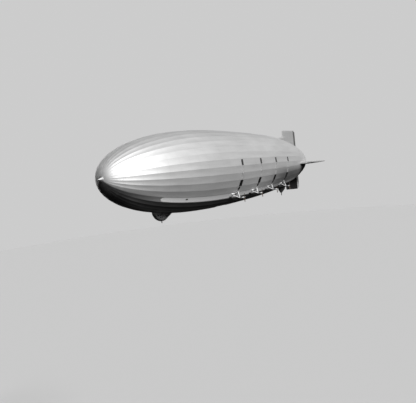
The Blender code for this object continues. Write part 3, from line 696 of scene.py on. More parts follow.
class Effects:
    """Node groups that several finishes share."""

    def __init__(self) -> None:
        """Builds the groups."""
        self.hull_place = self.build_hull_place()
        self.weather = self.build_weather()
        self.weave = self.build_weave()

    @staticmethod
    def build(
        name: str, inputs: dict[str, float], outputs: Sequence[str]
    ) -> tuple[bpy.types.NodeTree, Board, bpy.types.Node, bpy.types.Node]:
        """Makes an empty node group of float inputs and outputs.

        Args:
            name: Name of the group.
            inputs: Its inputs with their defaults.
            outputs: Names of its outputs.

        Returns:
            The tree, a board on it, its input node and its output node.
        """
        tree = bpy.data.node_groups.new(name, "ShaderNodeTree")
        for label, value in inputs.items():
            made = tree.interface.new_socket(label, in_out="INPUT", socket_type="NodeSocketFloat")
            made.default_value = value
        for label in outputs:
            tree.interface.new_socket(label, in_out="OUTPUT", socket_type="NodeSocketFloat")
        board = Board(tree)
        return tree, board, board.node("NodeGroupInput", {}), board.node("NodeGroupOutput", {})

    def build_hull_place(self) -> bpy.types.NodeTree:
        """Station, angle, share across the gore and share along the frame bay of a place on the hull.

        Returns:
            The group.
        """
        outputs = ("Station", "Angle", "Gore Share", "Bay Share")
        tree, board, _, out = self.build("hull_place", {}, outputs)
        x, y, z = board.parts(board.place())
        station = board.math("MULTIPLY_ADD", x, -1.0 / SCALE, ORIGIN_STATION)
        turn = board.math("ARCTAN2", z, board.math("ABSOLUTE", y))
        angle = board.math("MULTIPLY", turn, 180.0 / math.pi)
        gore = board.math("FRACT", board.math("MULTIPLY_ADD", angle, 0.1, 18.0))
        bay = board.math("FRACT", board.math("DIVIDE", board.math("SUBTRACT", station, 0.5), 5.625))
        board.feed(out, dict(zip(outputs, (station, angle, gore, bay))))
        return tree

    def build_weather(self) -> bpy.types.NodeTree:
        """Broad patches, streaks that run down and aft, and fine grime, each about nought.

        Returns:
            The group.
        """
        inputs = {"Patches": 0.05, "Streaks": 0.03, "Grime": 0.02}
        tree, board, given, out = self.build("weather", inputs, ["Tone"])
        broad = board.noise((0.6, 1.0, 1.0), 0.9, 4.0, 0.55)
        streak = board.noise((0.35, 4.0, 4.0), 1.6, 5.0, 0.6)
        fine = board.noise((1.0, 1.0, 1.0), 22.0, 4.0, 0.6)
        total: Value = 0.0
        for value, name in ((broad, "Patches"), (streak, "Streaks"), (fine, "Grime")):
            total = board.math("MULTIPLY_ADD", board.math("SUBTRACT", value, 0.5), given.outputs[name], total)
        board.feed(out, {"Tone": total})
        return tree

    def build_weave(self) -> bpy.types.NodeTree:
        """Height of a plain cloth's threads: the product of two crossed waves.

        Returns:
            The group.
        """
        tree, board, given, out = self.build("weave", {"Scale": 900.0}, ["Height"])
        x, y, z = board.parts(board.place())
        pitch = given.outputs["Scale"]
        waves = [board.math("SINE", board.product(v, pitch)) for v in (x, board.math("ADD", y, z))]
        board.feed(out, {"Height": board.product(*waves)})
        return tree


# Finishes


def grey(tone: float) -> Colour:
    """Grey colour of a tone."""
    return (tone, tone, tone)


def new_finish(name: str) -> tuple[bpy.types.Material, Board, bpy.types.Node]:
    """Material with a Principled shader.

    Args:
        name: Name of the material.

    Returns:
        The material, a board on its tree, and the shader.
    """
    made = bpy.data.materials.new(name)
    made.use_nodes = True
    return made, Board(made.node_tree), made.node_tree.nodes["Principled BSDF"]


def cloth_normal(board: Board, effects: Effects) -> Socket:
    """Normal of a surface raised by the weave of its cloth."""
    inputs = {"Strength": 0.05, "Distance": 0.001, "Height": board.group(effects.weave).outputs["Height"]}
    return board.node("ShaderNodeBump", inputs).outputs[0]


@dataclass(frozen=True)
class StripPlace:
    """Where the pale strip lies on each side of the hull, with a round nose and a straight end."""

    start: float = 21.0
    nose: float = 1.7
    end: float = 176.0
    middle: float = -45.0
    half: float = 4.25

    def mask(self, board: Board, station: Value, angle: Value) -> Socket:
        """Mask of the strip: an ellipse at its nose, then a band, cut off at its end.

        Args:
            board: Board of the material.
            station: Distance aft of the tip.
            angle: Angle up from the beam.

        Returns:
            One on the strip and nought off it.
        """
        across = board.math("DIVIDE", board.math("SUBTRACT", angle, self.middle), self.half)
        short = board.math("SUBTRACT", self.start + self.nose, station)
        ahead = board.math("MAXIMUM", board.math("DIVIDE", short, self.nose), 0.0)
        squares = board.math("ADD", board.product(ahead, ahead), board.product(across, across))
        inside = board.ramp(board.math("SQRT", squares), 1.02, 0.97)
        return board.product(inside, board.ramp(station, self.end, self.end - 1.0))


@dataclass(frozen=True)
class CoverFinish:
    """Aluminium-doped cloth of the hull, with the pale strip along each lower side and painted shade low on
    its flanks.
    """

    name: str = "cover_silver"
    tone: float = 0.654
    pale: float = 0.88
    soot: float = 0.03
    seam: float = 0.30
    metallic: float = 0.86
    roughness: float = 0.63
    seam_depth: float = 0.16
    band_share: float = 0.74
    flank_share: float = 0.72
    cheek_share: float = 0.90
    stern_share: float = 0.92
    strip_shade_share: float = 0.62
    # Where each edge of the painted shade rises from nought to one: angles, then stations
    clear_edge: Row = (-58.0, -50.0)
    band_top: Row = (-49.3, -52.0)
    band_foot: Row = (-82.0, -58.0)
    cheek_top: Row = (-28.0, -46.0)
    flank_top: Row = (-3.0, -27.0)
    stern_top: Row = (-7.0, -13.0)
    cheek_end: Row = (24.0, 5.0)
    flank_start: Row = (98.0, 140.0)
    stern_start: Row = (168.0, 186.0)
    stern_end: Row = (230.0, 206.0)
    strip: StripPlace = StripPlace()

    def build(self, effects: Effects) -> bpy.types.Material:
        """Builds the material.

        Args:
            effects: The shared node groups.

        Returns:
            The material.
        """
        made, board, shader = new_finish(self.name)
        place = board.group(effects.hull_place)
        station, angle, gore_share, bay_share = place.outputs
        weather = board.group(effects.weather, Patches=0.22, Streaks=0.28, Grime=0.10).outputs["Tone"]
        seam = board.math("MAXIMUM", board.line(gore_share, 0.018), board.line(bay_share, 0.012))
        tone = board.tint(weather, grey(self.tone), 0.20)
        tone = board.mix(board.product(seam, self.seam_depth), tone, grey(self.seam))
        aft = board.ramp(station, *self.flank_start)
        # Painted shade: near-black colour under the strip, on the bow's cheeks, on the lower flanks aft and
        # in the fins' shadow at the stern
        tone = board.mix(self.painted_shade_mask(board, station, angle, aft), tone, grey(self.soot))
        strip = self.strip.mask(board, station, angle)
        pale = board.tint(weather, grey(self.pale), 0.08)
        # Painted shade: the pale strip darkens towards the stern
        pale = board.mix(board.product(aft, self.strip_shade_share), pale, grey(self.soot))
        rough = board.math("MULTIPLY_ADD", weather, 0.35, self.roughness)
        inputs = {
            "Base Color": board.mix(strip, tone, pale),
            "Metallic": board.product(board.math("SUBTRACT", 1.0, strip), self.metallic),
            "Roughness": board.math("MULTIPLY_ADD", strip, 0.2, rough),
            "Normal": cloth_normal(board, effects),
        }
        board.feed(shader, inputs)
        return made

    def painted_shade_mask(self, board: Board, station: Value, angle: Value, aft: Value) -> Socket:
        """Share of painted shade under the strip, on the bow's cheeks, the lower flanks aft and under the
        fins.

        Args:
            board: Board of the material.
            station: Distance aft of the tip.
            angle: Angle up from the beam.
            aft: Rises from nought ahead to one at the stern.

        Returns:
            The mask, uneven by a broad noise.
        """
        clear = board.ramp(angle, *self.clear_edge)
        under = board.product(board.ramp(angle, *self.band_top), board.ramp(angle, *self.band_foot))
        cheek = board.product(board.ramp(angle, *self.cheek_top), board.ramp(station, *self.cheek_end))
        flank = board.product(board.ramp(angle, *self.flank_top), aft, clear)
        stern = board.product(board.ramp(station, *self.stern_start), board.ramp(station, *self.stern_end))
        stern = board.product(stern, board.ramp(angle, *self.stern_top), clear)
        share: Value = 0.0
        most = (self.band_share, self.flank_share, self.cheek_share, self.stern_share)
        for part, height in zip((under, flank, cheek, stern), most):
            share = board.math("MAXIMUM", share, board.product(part, height))
        patches = board.noise((0.5, 2.0, 2.0), 1.2, 4.0, 0.6)
        return board.math("MULTIPLY", share, board.math("MULTIPLY_ADD", patches, 0.4, 0.8), clamp=True)


@dataclass(frozen=True)
class RibbedFinish:
    """Doped cloth drawn over ribs, which show as lines along and across."""

    name: str
    tone: float
    metallic: float = 0.80
    roughness: float = 0.55
    along: float = 4.5
    outward: float = 1.9
    depth: float = 0.22
    shine: float = 0.5

    def build(self, effects: Effects) -> bpy.types.Material:
        """Builds the material.

        Args:
            effects: The shared node groups.

        Returns:
            The material.
        """
        made, board, shader = new_finish(self.name)
        weather = board.group(effects.weather, Patches=0.22, Streaks=0.20, Grime=0.10).outputs["Tone"]
        x, y, z = board.parts(board.place())
        height = board.math("SQRT", board.math("ADD", board.product(y, y), board.product(z, z)))
        spars = board.lines(board.product(x, 1.0 / SCALE), self.along, 0.07)
        ribs = board.lines(board.product(height, 1.0 / SCALE), self.outward, 0.06)
        seam = board.product(board.math("MAXIMUM", spars, ribs), self.depth)
        inputs = {
            "Base Color": board.mix(seam, board.tint(weather, grey(self.tone), 0.2), grey(self.tone * 0.45)),
            "Roughness": board.math("MULTIPLY_ADD", weather, 0.35, self.roughness),
            "Metallic": self.metallic,
            "Specular IOR Level": self.shine,
            "Normal": cloth_normal(board, effects),
        }
        board.feed(shader, inputs)
        return made


@dataclass(frozen=True)
class PlainFinish:
    """Painted or bare metal, rubber or glass, with weathering."""

    name: str
    tone: float
    roughness: float = 0.5
    metallic: float = 0.0
    hue: Colour = (1.0, 1.0, 1.0)
    wear: float = 0.20
    alpha: float = 1.0
    shine: float = 0.5

    def build(self, effects: Effects) -> bpy.types.Material:
        """Builds the material.

        Args:
            effects: The shared node groups.

        Returns:
            The material.
        """
        made, board, shader = new_finish(self.name)
        wear = self.wear
        weather = board.group(effects.weather, Patches=wear, Streaks=wear, Grime=wear).outputs["Tone"]
        tone = tuple(self.tone * part for part in self.hue)
        inputs = {
            "Base Color": board.tint(weather, tone, 0.35),
            "Roughness": board.math("MULTIPLY_ADD", weather, 0.5, self.roughness),
            "Metallic": self.metallic,
            "Alpha": self.alpha,
            "Specular IOR Level": self.shine,
        }
        board.feed(shader, inputs)
        return made


@dataclass(frozen=True)
class WoodFinish:
    """Varnished laminated wood with its grain along Z."""

    name: str = "varnished_wood"
    light: Colour = (0.12, 0.085, 0.06)
    dark: Colour = (0.045, 0.032, 0.024)
    roughness: float = 0.35
    coat: float = 0.5
    layers: float = 420.0

    def build(self, effects: Effects) -> bpy.types.Material:
        """Builds the material.

        Args:
            effects: The shared node groups.

        Returns:
            The material.
        """
        made, board, shader = new_finish(self.name)
        grain = board.noise((60.0, 60.0, 5.0), 1.0, 5.0, 0.6)
        layers = board.math("SINE", board.product(board.parts(board.place())[0], self.layers))
        share = board.math("MULTIPLY_ADD", layers, 0.12, grain)
        share = board.math("ADD", share, board.group(effects.weather, Grime=0.3).outputs["Tone"])
        inputs = {
            "Base Color": board.mix(share, self.dark, self.light),
            "Roughness": self.roughness,
            "Coat Weight": self.coat,
        }
        board.feed(shader, inputs)
        return made


class Look(Enum):
    """Every finish of the ship. Plain ones give their tone, roughness and metallic share."""

    COVER = CoverFinish()
    TAIL = RibbedFinish("tail_silver", 0.62, 0.84, 0.61, 2.8, 50.0)
    FIN = RibbedFinish("fin_silver", 0.60)
    # Painted shadow: near-black cloth for the lower fin
    SOOTED_FIN = RibbedFinish("fin_painted_shadow", 0.010, 0.0, 0.75, shine=0.12)
    ELEVATOR = RibbedFinish("elevator_grey", 0.28, 0.6, 0.6, 1.2)
    RUDDER = RibbedFinish("rudder_grey", 0.12, 0.5, 0.6, 1.2)
    PALE_RUDDER = RibbedFinish("rudder_pale", 0.60, 0.6, 0.6, 1.2)
    WOOD = WoodFinish()
    SPINDLE = PlainFinish("spindle", 0.34, 0.50, 0.9)
    STEEL = PlainFinish("steel", 0.28, 0.35, 0.9)
    BRIGHT = PlainFinish("bright", 0.80, 0.45, 0.35)
    STRUT = PlainFinish("strut", 0.72, 0.45, 0.35)
    POD = PlainFinish("pod", 0.36, 0.40, 0.4)
    TIP_METAL = PlainFinish("tip_metal", 0.35, 0.35, 0.9)
    SHELL = PlainFinish("shell", 0.46, 0.42, 0.7)
    # Painted shade: the car's shell and trim are dark for the shade under the hull
    CAR = PlainFinish("car_metal_painted_shade", 0.13, 0.45, 0.5)
    CAR_TRIM = PlainFinish("car_trim", 0.22, 0.45, 0.5)
    # Condenser panels and exhaust cups, and painted shade on a pad between each outrigger's struts
    SOOT = PlainFinish("soot", 0.008, 0.95, shine=0.1)
    # Also painted shade on the tail pylon, and a painted shadow under each outrigger's forward hood
    DARK = PlainFinish("dark", 0.022, 0.60)
    # Condenser slats, and painted shade on the outriggers' shaft housings
    GRILLE = PlainFinish("grille", 0.05, 0.50, 0.4)
    PALE_GRILLE = PlainFinish("pale_grille", 0.62, 0.60, 0.75)
    CASTING = PlainFinish("casting", 0.36, 0.40, 0.8)
    RUBBER = PlainFinish("rubber", 0.03, 0.75)
    LINING = PlainFinish("lining", 0.30, 0.60, 0.2)
    BOARDS = PlainFinish("floor_board", 0.20, 0.6, hue=(1.0, 0.85, 0.65))
    GLASS = PlainFinish("glass", 0.02, 0.12, hue=(1.0, 1.1, 1.2), wear=0.05, alpha=0.78)


class Yard:
    """Holds the materials and makes the ship's pieces."""

    def __init__(self) -> None:
        """Builds every finish on the shared node groups."""
        effects = Effects()
        self.materials = {look: look.value.build(effects) for look in Look}

    def make(
        self, bag: Bag, name: str, looks: Sequence[Look], slot: Slot,
        node: str | None = None, body: str = SHIP, sharp: float = 30.0,
    ) -> None:
        """Makes a piece, ties it to its body and hides the CAD node it stands for.

        Args:
            bag: Its points and faces.
            name: Its name.
            looks: Its finishes, in the order of their numbers in the bag.
            slot: Its slot in the record; not used.
            node: CAD node that it replaces, if any.
            body: Body of the frame that carries it.
            sharp: Angle in degrees from which an edge stays sharp.
        """
        made = bag.piece(name, [self.materials[look] for look in looks], sharp)
        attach(made, body)
        if node is not None:
            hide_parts(node)


# Sub-assemblies of the hull


@dataclass
class Hull:
    """Cloth cover of the hull, with the hangar's opening in its belly."""

    yard: Yard
    hangar: tuple[float, float] = (71.0, 83.0)
    opening: tuple[float, float] = (-103.0, -77.0)
    steps: int = 6
    bow_steps: int = 14
    bow_end: float = 12.0

    def stations(self) -> np.ndarray:
        """Rows of the cover's grid: each frame bay in equal steps, finer at the bow.

        Returns:
            Their stations.
        """
        start, end = FORM.cap_end + SEAT, FORM.tail_start - SEAT
        inner = FORM.frames()
        frames = np.unique(np.concatenate([[start], inner[inner > start], [end], self.hangar]))
        rows = [
            np.linspace(a, b, (self.bow_steps if a < self.bow_end else self.steps) + 1)[:-1]
            for a, b in zip(frames, frames[1:])
        ]
        return np.concatenate([*rows, [end]])

    def build(self) -> None:
        """Builds the cover as a closed wall with a real opening."""
        rows = self.stations()
        gore = np.repeat(np.arange(FORM.gores), len(FORM.shares))
        share = np.tile(FORM.shares, FORM.gores)
        # Just past the start of its column, so that rounding can't move a column across the edge
        angle = (gore + share) * 360.0 / FORM.gores - 180.0 + 0.1
        middle = (rows[1:] + rows[:-1]) / 2.0
        in_bay = (middle > self.hangar[0]) & (middle < self.hangar[1])
        in_gap = (angle > self.opening[0]) & (angle < self.opening[1])
        bag = FORM.walled(rows, ~(in_bay[:, None] & in_gap[None, :]))
        self.yard.make(bag, "cover_skin", (Look.COVER,), Slot.COVER, "hull_cover", sharp=5.0)


@dataclass
class Ends:
    """Metal cap of the bow with its petals, the mooring cone and the closing cone of the tail."""

    yard: Yard
    cap_start: float = 1.74
    cap_rows: int = 26
    tail_end: float = 239.27
    tail_rows: int = 22
    rib_half: float = 0.3
    rib_lift: float = 0.01
    rib_start: int = 6
    band_heights: tuple[float, float] = (-0.03, 0.02)
    # Distance from the tip and radius
    cone: Table = (
        (0.004, 0.06), (0.03, 0.12), (0.10, 0.155), (0.22, 0.15), (0.26, 0.22), (0.34, 0.24),
        (0.40, 0.24), (0.44, 0.30), (0.50, 0.33), (0.56, 0.33), (0.60, 0.36), (0.95, 0.50),
        (1.08, 0.58), (1.12, 0.62), (1.18, 0.66), (1.40, 0.90), (1.60, 1.10), (1.70, 1.22),
        (1.76, 1.26), (1.84, 1.24),
    )
    bolts: int = 12
    bolt_circle: float = 1.02
    bolt_stations: tuple[float, float] = (1.62, 1.44)
    bolt_head: Table = ((0.0, 0.05), (0.7, 0.05), (1.0, 0.035))

    def build_cap(self) -> None:
        """Cap as a wall, with a low rib along every ridge and a band at its edge."""
        reach = np.linspace(0.0, 1.0, self.cap_rows) ** 2
        end = FORM.cap_end - SEAT
        rows = self.cap_start + (end - self.cap_start) * reach
        bag = FORM.walled(rows)
        station = rows[self.rib_start:-1, None]
        ridge = FORM.radius_at(station) * math.cos(math.radians(0.2))
        lift, half = self.rib_lift, self.rib_half
        for gore in range(FORM.gores):
            angle = gore * 360.0 / FORM.gores + np.array([[-half, -half, half, half]])
            bag.rings(polar(station, ridge + np.array([[-lift, lift, lift, -lift]]), angle))
        bag.rings(self.band(FORM.cap_end - 0.42, end))
        self.yard.make(bag, "bow_petals", (Look.COVER,), Slot.BOW_CAP, "bow_cap", sharp=5.0)

    def band(self, start: float, end: float) -> np.ndarray:
        """Band around the whole hull.

        Args:
            start: Station of its forward edge.
            end: Station of its after edge.

        Returns:
            Array of rings by four corners by x, y, z.
        """
        angle = np.linspace(0.0, 360.0, FORM.gores * 4 + 1)[:, None]
        station = np.array([[start, start, end, end]])
        bottom, top = self.band_heights
        return polar(station, FORM.skin(station, angle) + np.array([[bottom, top, top, bottom]]), angle)

    def build_cone(self) -> None:
        """Mooring cone turned from a profile, with bolts on its flange."""
        length = self.cone[-1][0]
        profile = [(place / length, radius) for place, radius in self.cone]
        bag = Bag().bar((x_of(0.0), 0.0, 0.0), (x_of(length), 0.0, 0.0), profile, circle(40))
        span = tuple(x_of(station) for station in self.bolt_stations)
        bag.bolts(span, self.bolt_circle, self.bolts, self.bolt_head)
        self.yard.make(bag, "mooring_spindle", (Look.SPINDLE,), Slot.MOORING, "mooring_cone", sharp=35.0)

    def build_tail(self) -> None:
        """Tail cone as a wall that narrows to its tip, its rows closer together there."""
        reach = 1.0 - (1.0 - np.linspace(0.0, 1.0, self.tail_rows)) ** 1.5
        start = FORM.tail_start + SEAT
        bag = FORM.walled(start + (self.tail_end - start) * reach)
        bag.rings(self.band(start, FORM.tail_start + 0.30))
        self.yard.make(bag, "tail_skin", (Look.TAIL,), Slot.TAIL_CONE, "tail_cone", sharp=5.0)


@dataclass
class Fittings:
    """Small things on the cover: hoods over the vents in the ridge, hatches and the lamp."""

    yard: Yard
    hood_stations: Row = (56.7, 79.2, 101.7, 124.2, 146.7, 169.2)
    hood_size: Place = (1.5, 0.55, 0.24)
    # First and last station, lower and upper angle; a hatch on the side is on both sides
    hatches: Table = (
        (34.4, 35.7, -45.3, -42.7), (58.0, 60.2, -92.0, -88.0), (110.0, 112.2, -92.0, -88.0),
        (150.0, 152.2, -92.0, -88.0), (17.6, 18.5, -92.5, -87.5),
    )
    belly: float = -80.0
    lamp_station: float = 108.0
    lamp: Table = ((0.0, 0.16), (0.35, 0.16), (0.8, 0.12), (1.0, 0.05))

    def hood(self, station: float) -> np.ndarray:
        """Hood over a vent: half a round section that swells quickly from its nose.

        Args:
            station: Station of its nose.

        Returns:
            Array of rings by points by x, y, z.
        """
        length, half, rise = self.hood_size
        share = np.linspace(0.0, 1.0, 9)[:, None]
        swell = np.sqrt(np.clip(1.0 - (1.0 - np.minimum(share * 2.2, 1.0)) ** 2, 0.02, 1.0))
        turn = np.linspace(0.0, math.pi, 11)[None, :]
        x = x_of(station) - length * share + 0.0 * turn
        z = FORM.radius_at(station) - 0.05 + rise * swell * np.sin(turn) ** 0.8
        return np.stack([x, half * swell * np.cos(turn), z], axis=-1)

    def build(self) -> None:
        """Builds the fittings as one piece."""
        bag = Bag()
        for station in self.hood_stations:
            bag.rings(self.hood(station))
            x, base = x_of(station + self.hood_size[0]), float(FORM.radius_at(station))
            bag.block((x - 0.03, -0.4, base - 0.02), (x + 0.01, 0.4, base + 0.13), 1)
        for start, end, low, high in self.hatches:
            bag.patch((start, end), (low, high), (-0.02, 0.025), 0.04, 2)
            bag.patch((start + 0.1, end - 0.1), (low + 0.3, high - 0.3), (0.0, 0.035), 0.03, 1)
            if high > self.belly:
                bag.patch((start, end), (-180.0 - low, -180.0 - high), (-0.02, 0.025), 0.04, 2)
        x, top = x_of(self.lamp_station), float(FORM.radius_at(self.lamp_station))
        bag.bar((x, 0.0, top - 0.05), (x, 0.0, top + 0.28), self.lamp, circle(16), 2)
        self.yard.make(bag, "cover_fittings", (Look.BRIGHT, Look.DARK, Look.SHELL), Slot.COVER)


@dataclass
class Hangar:
    """Sliding leaves of the hangar, and the lined bay that they close."""

    yard: Yard
    span: tuple[float, float] = (70.45, 83.55)
    # Degrees from the keel of a leaf's inner and outer edge
    leaf: tuple[float, float] = (0.23, 14.15)
    edge_strip: float = 0.5
    thickness: float = 0.11
    under_skin: float = 0.178
    ribs: int = 9
    rib_width: float = 0.2
    bay: tuple[float, float] = (70.9, 83.1)
    bay_half: float = 4.5
    bay_top: float = 11.1
    bay_foot: float = 18.9
    lining: float = 0.08
    frames: int = 8
    frame_half: float = 0.09
    rail_out: float = 1.2
    trapeze_station: float = 77.0
    trapeze_foot: float = 15.5

    def slab(self, span: Row, reach: Row, depths: Row) -> np.ndarray:
        """Bent slab on the port side of the keel, under the inner side of the cover.

        Args:
            span: First and last station.
            reach: First and last angle away from the keel.
            depths: Depths of its outer and its inner face in the leaf.

        Returns:
            Array of rings by four corners by x, y, z.
        """
        angle = np.linspace(reach[0] - 90.0, reach[1] - 90.0, 9)[:, None]
        station = np.repeat(span, 2)[None, :]
        depth = np.array([[depths[0], depths[1], depths[1], depths[0]]])
        return polar(station, FORM.flats_at(station) - self.under_skin - depth, angle)

    def build_leaf(self, side: Side) -> None:
        """Leaf with ribs across its inner face and an edge strip along the middle.

        Args:
            side: Side of the ship.
        """
        bag = Bag().rings(self.slab(self.span, self.leaf, (0.0, self.thickness * 0.5)))
        for place in np.linspace(self.span[0], self.span[1] - self.rib_width, self.ribs):
            bag.rings(self.slab((place, place + self.rib_width), self.leaf, (0.05, self.thickness)), 1)
        edge = (self.leaf[0], self.leaf[0] + self.edge_strip)
        bag.rings(self.slab(self.span, edge, (0.0, self.thickness)), 1).on_side(side)
        node = f"hangar_door_{side.word}"
        looks = (Look.SHELL, Look.LINING)
        self.yard.make(bag, f"hangar_leaf_{side.word}", looks, Slot.LEAF, node, node, 20.0)

    def build_bay(self) -> None:
        """Walls and roof of the bay with frames, and the trapeze rail under the roof."""
        fore, aft = x_of(self.bay[0]), x_of(self.bay[1])
        half, top, foot = self.bay_half, -self.bay_top, -self.bay_foot
        skin, wide = self.lining, self.frame_half
        bag = Bag().block((aft, -half - skin, top), (fore, half + skin, top + skin))
        for start in (fore, aft - skin):
            bag.block((start, -half, foot - 0.05), (start + skin, half, top))
        frames = np.linspace(aft, fore, 2 * self.frames + 1)[1::2]
        for x in frames:
            bag.block((x - wide, -half, top - 0.14), (x + wide, half, top + 0.02), 1)
        hook, low = x_of(self.trapeze_station), -self.trapeze_foot
        for sign in (1.0, -1.0):
            bag.block((aft, sign * (half + 0.02), foot), (fore, sign * (half + skin), top))
            for x in frames:
                bag.block((x - wide, sign * (half - 0.12), foot), (x + wide, sign * (half + 0.03), top), 1)
            out = sign * self.rail_out
            bag.rod((aft, out, top - 0.4), (fore, out, top - 0.4), 0.11, 10, 1)
            leg = ((0.0, 0.09), (1.0, 0.07))
            bag.bar((hook, out, top - 0.3), (hook, sign * 0.6, low), leg, circle(10), 1)
        bag.rod((hook, -1.1, low), (hook, 1.1, low), 0.08, 10, 1)
        self.yard.make(bag, "hangar_lining", (Look.LINING, Look.CASTING), Slot.RAIL)


# Sub-assemblies of the engines


@dataclass
class Engine:
    """Place of one engine, which its condenser, outrigger and drive share."""

    yard: Yard
    station: float
    number: int
    side: Side
    hub_down: float = 15.8
    boss_out: float = 17.1

    @property
    def word(self) -> str:
        """Side and number, as the names of pieces and nodes end."""
        return f"{self.side.word}_{self.number}"


@dataclass(frozen=True)
class Panel:
    """One panel of a condenser column: its angles, its height and the numbers of its finishes."""

    top: float
    bottom: float
    rise: float
    back: int
    slat: int
    edge: int
    spread: float = 0.0


@dataclass
class Condenser(Engine):
    """Column of slatted panels above an engine, with the exhaust cup below it."""

    width: float = 1.72
    rail: float = 0.12
    rail_high: float = 0.35
    root: float = -0.04
    bevel: float = 0.02
    pitch: float = 1.0
    slat_high: float = 0.42
    looks: tuple[Look, ...] = (Look.DARK, Look.GRILLE, Look.PALE_GRILLE, Look.SHELL, Look.SOOT)
    panels: tuple[Panel, ...] = (
        Panel(8.8, 0.6, 0.14, 0, 1, 1),
        Panel(-1.0, -11.6, 0.10, 2, 2, 3),
        Panel(-12.4, -20.0, 0.08, 2, 2, 3),
        Panel(-20.8, -29.6, 0.16, 4, 4, 4, 0.50),
    )
    cup_angle: float = -33.3
    cup_radius: float = 0.85
    pipe_foot: float = -41.0
    pipe_half: float = 0.14

    def build(self) -> None:
        """Builds the column as one piece."""
        bag = Bag()
        for panel in self.panels:
            self.add_panel(bag, panel)
        self.add_cup(bag)
        name, node = f"condenser_slats_{self.word}", f"condenser_{self.word}"
        self.yard.make(bag.on_side(self.side), name, self.looks, Slot.CONDENSER, node)

    def add_panel(self, bag: Bag, panel: Panel) -> None:
        """Adds a panel: its back, a raised edge all round, and slats across.

        Args:
            bag: Where it goes.
            panel: The panel.
        """
        half = self.width / 2.0 + panel.spread
        start, end = self.station - half, self.station + half
        low, high, rise = panel.bottom, panel.top, panel.rise
        bag.patch((start + 0.05, end - 0.05), (low, high), (self.root, rise * 0.4), slot=panel.back)
        raised = (self.root, rise)
        for span in ((start, start + self.rail), (end - self.rail, end)):
            bag.patch(span, (low, high), raised, self.bevel, panel.edge)
        for near in (low, high - self.rail_high):
            bag.patch((start, end), (near, near + self.rail_high), raised, self.bevel, panel.edge)
        count = int((high - low - 0.8) / self.pitch)
        span, raised = (start + self.rail, end - self.rail), (-0.02, rise * 0.85)
        for row in range(count):
            near = low + 0.55 + row * (high - low - 1.1) / count
            bag.patch(span, (near, near + self.slat_high), raised, 0.01, panel.slat)

    def add_cup(self, bag: Bag) -> None:
        """Adds the round cup of the exhaust, dark inside, and the pipe that runs down from it.

        Args:
            bag: Where they go.
        """
        skin = float(FORM.skin(self.station, np.array(self.cup_angle)))
        foot, rim, core = (
            tuple(polar(self.station, skin + lift, self.cup_angle)) for lift in (-0.05, 0.14, 0.15)
        )
        size = self.cup_radius
        bag.bar(foot, rim, ((0.0, 1.15), (0.5, 1.1), (1.0, 1.0)), circle(24), 4, size)
        bag.rod(foot, core, size * 0.8, 24, 4)
        span = (self.station - self.pipe_half, self.station + self.pipe_half)
        bag.patch(span, (self.pipe_foot, self.cup_angle - 1.6), (-0.03, 0.08), 0.05, 3)


@dataclass
class Outrigger(Engine):
    """Tripod that holds a propeller clear of the hull: shaft housing, two struts and their feet."""

    looks: tuple[Look, ...] = (
        Look.STRUT, Look.BRIGHT, Look.DARK, Look.SHELL, Look.SOOT, Look.GRILLE
    )
    head_in: float = 0.45
    # Degrees below the beam and metres ahead of the engine of each strut's foot
    struts: Table = ((40.5, -1.6), (44.0, 3.8))
    chord: float = 0.31
    slimness: float = 0.55
    # Share of the length and chord of a strut
    strut: Table = ((0.0, 1.9), (0.03, 1.55), (0.07, 1.2), (0.12, 1.04), (0.5, 1.0), (0.92, 1.0), (1.0, 1.0))
    # Share of the length and radius of the shaft housing
    housing: Table = (
        (0.0, 0.66), (0.05, 0.60), (0.10, 0.53), (0.14, 0.52), (0.145, 0.55), (0.17, 0.55), (0.175, 0.50),
        (0.80, 0.44), (0.805, 0.47), (0.84, 0.47), (0.845, 0.44), (0.95, 0.44), (0.955, 0.46), (1.0, 0.46),
    )
    collar: Table = ((0.0, 0.50), (0.2, 0.54), (0.8, 0.54), (1.0, 0.50))
    collar_in: tuple[float, float] = (0.75, 0.22)
    foot_half: tuple[float, float] = (0.75, 1.6)
    # Metres ahead of the engine, half length, lower and upper angle, bottom, top, bevel and slot
    pads: Table = (
        (0.0, 0.85, -47.4, -42.2, -0.02, 0.03, 0.04, 3),
        # Near-black panel: painted shade where the hull shows between the struts
        (0.0, 0.72, -47.0, -42.6, 0.0, 0.04, 0.04, 4),
        # Dark patch below the forward hood: painted shadow of the hood
        (3.8, 0.85, -49.6, -46.6, -0.02, 0.04, 0.05, 2),
    )

    def build(self) -> None:
        """Builds the outrigger as one piece."""
        bag = Bag()
        x, z = x_of(self.station), -self.hub_down
        root = math.sqrt(float(FORM.radius_at(self.station)) ** 2 - self.hub_down**2) - 0.25
        # Painted shade: the shaft housing takes the near-black grille finish
        bag.bar((x, root, z), (x, self.boss_out, z), self.housing, circle(32), 5)
        for angle, ahead in self.struts:
            self.add_strut(bag, -angle, self.station - ahead)
        for ahead, half, low, high, bottom, top, bevel, slot in self.pads:
            middle = self.station - ahead
            bag.patch((middle - half, middle + half), (low, high), (bottom, top), bevel, int(slot))
        near, far = ((x, self.boss_out - inwards, z) for inwards in self.collar_in)
        bag.bar(near, far, self.collar, circle(32), 3).on_side(self.side)
        name, node = f"outrigger_fairings_{self.word}", f"outrigger_{self.word}"
        self.yard.make(bag, name, self.looks, Slot.OUTRIGGER, node, sharp=40.0)

    def add_strut(self, bag: Bag, angle: float, station: float) -> None:
        """Adds a strut and the pad at its foot; the forward one has a hood over it too.

        Args:
            bag: Where they go.
            angle: Angle of the foot.
            station: Station of the foot.
        """
        skin = float(FORM.skin(station, np.array(angle)))
        foot = tuple(polar(station, skin - 0.10, angle))
        head = (x_of(self.station), self.boss_out - self.head_in, -self.hub_down)
        bag.bar(foot, head, self.strut, teardrop(20, self.slimness), 0, self.chord)
        along, wide = self.foot_half
        bag.patch((station - along, station + along), (angle - wide, angle + wide), (-0.02, 0.05), 0.10, 1)
        if station < self.station:
            angles = (angle - 2.6, angle + 2.6)
            bag.patch((station - 1.8, station + 1.5), angles, (-0.02, 0.34), 0.45, 1)


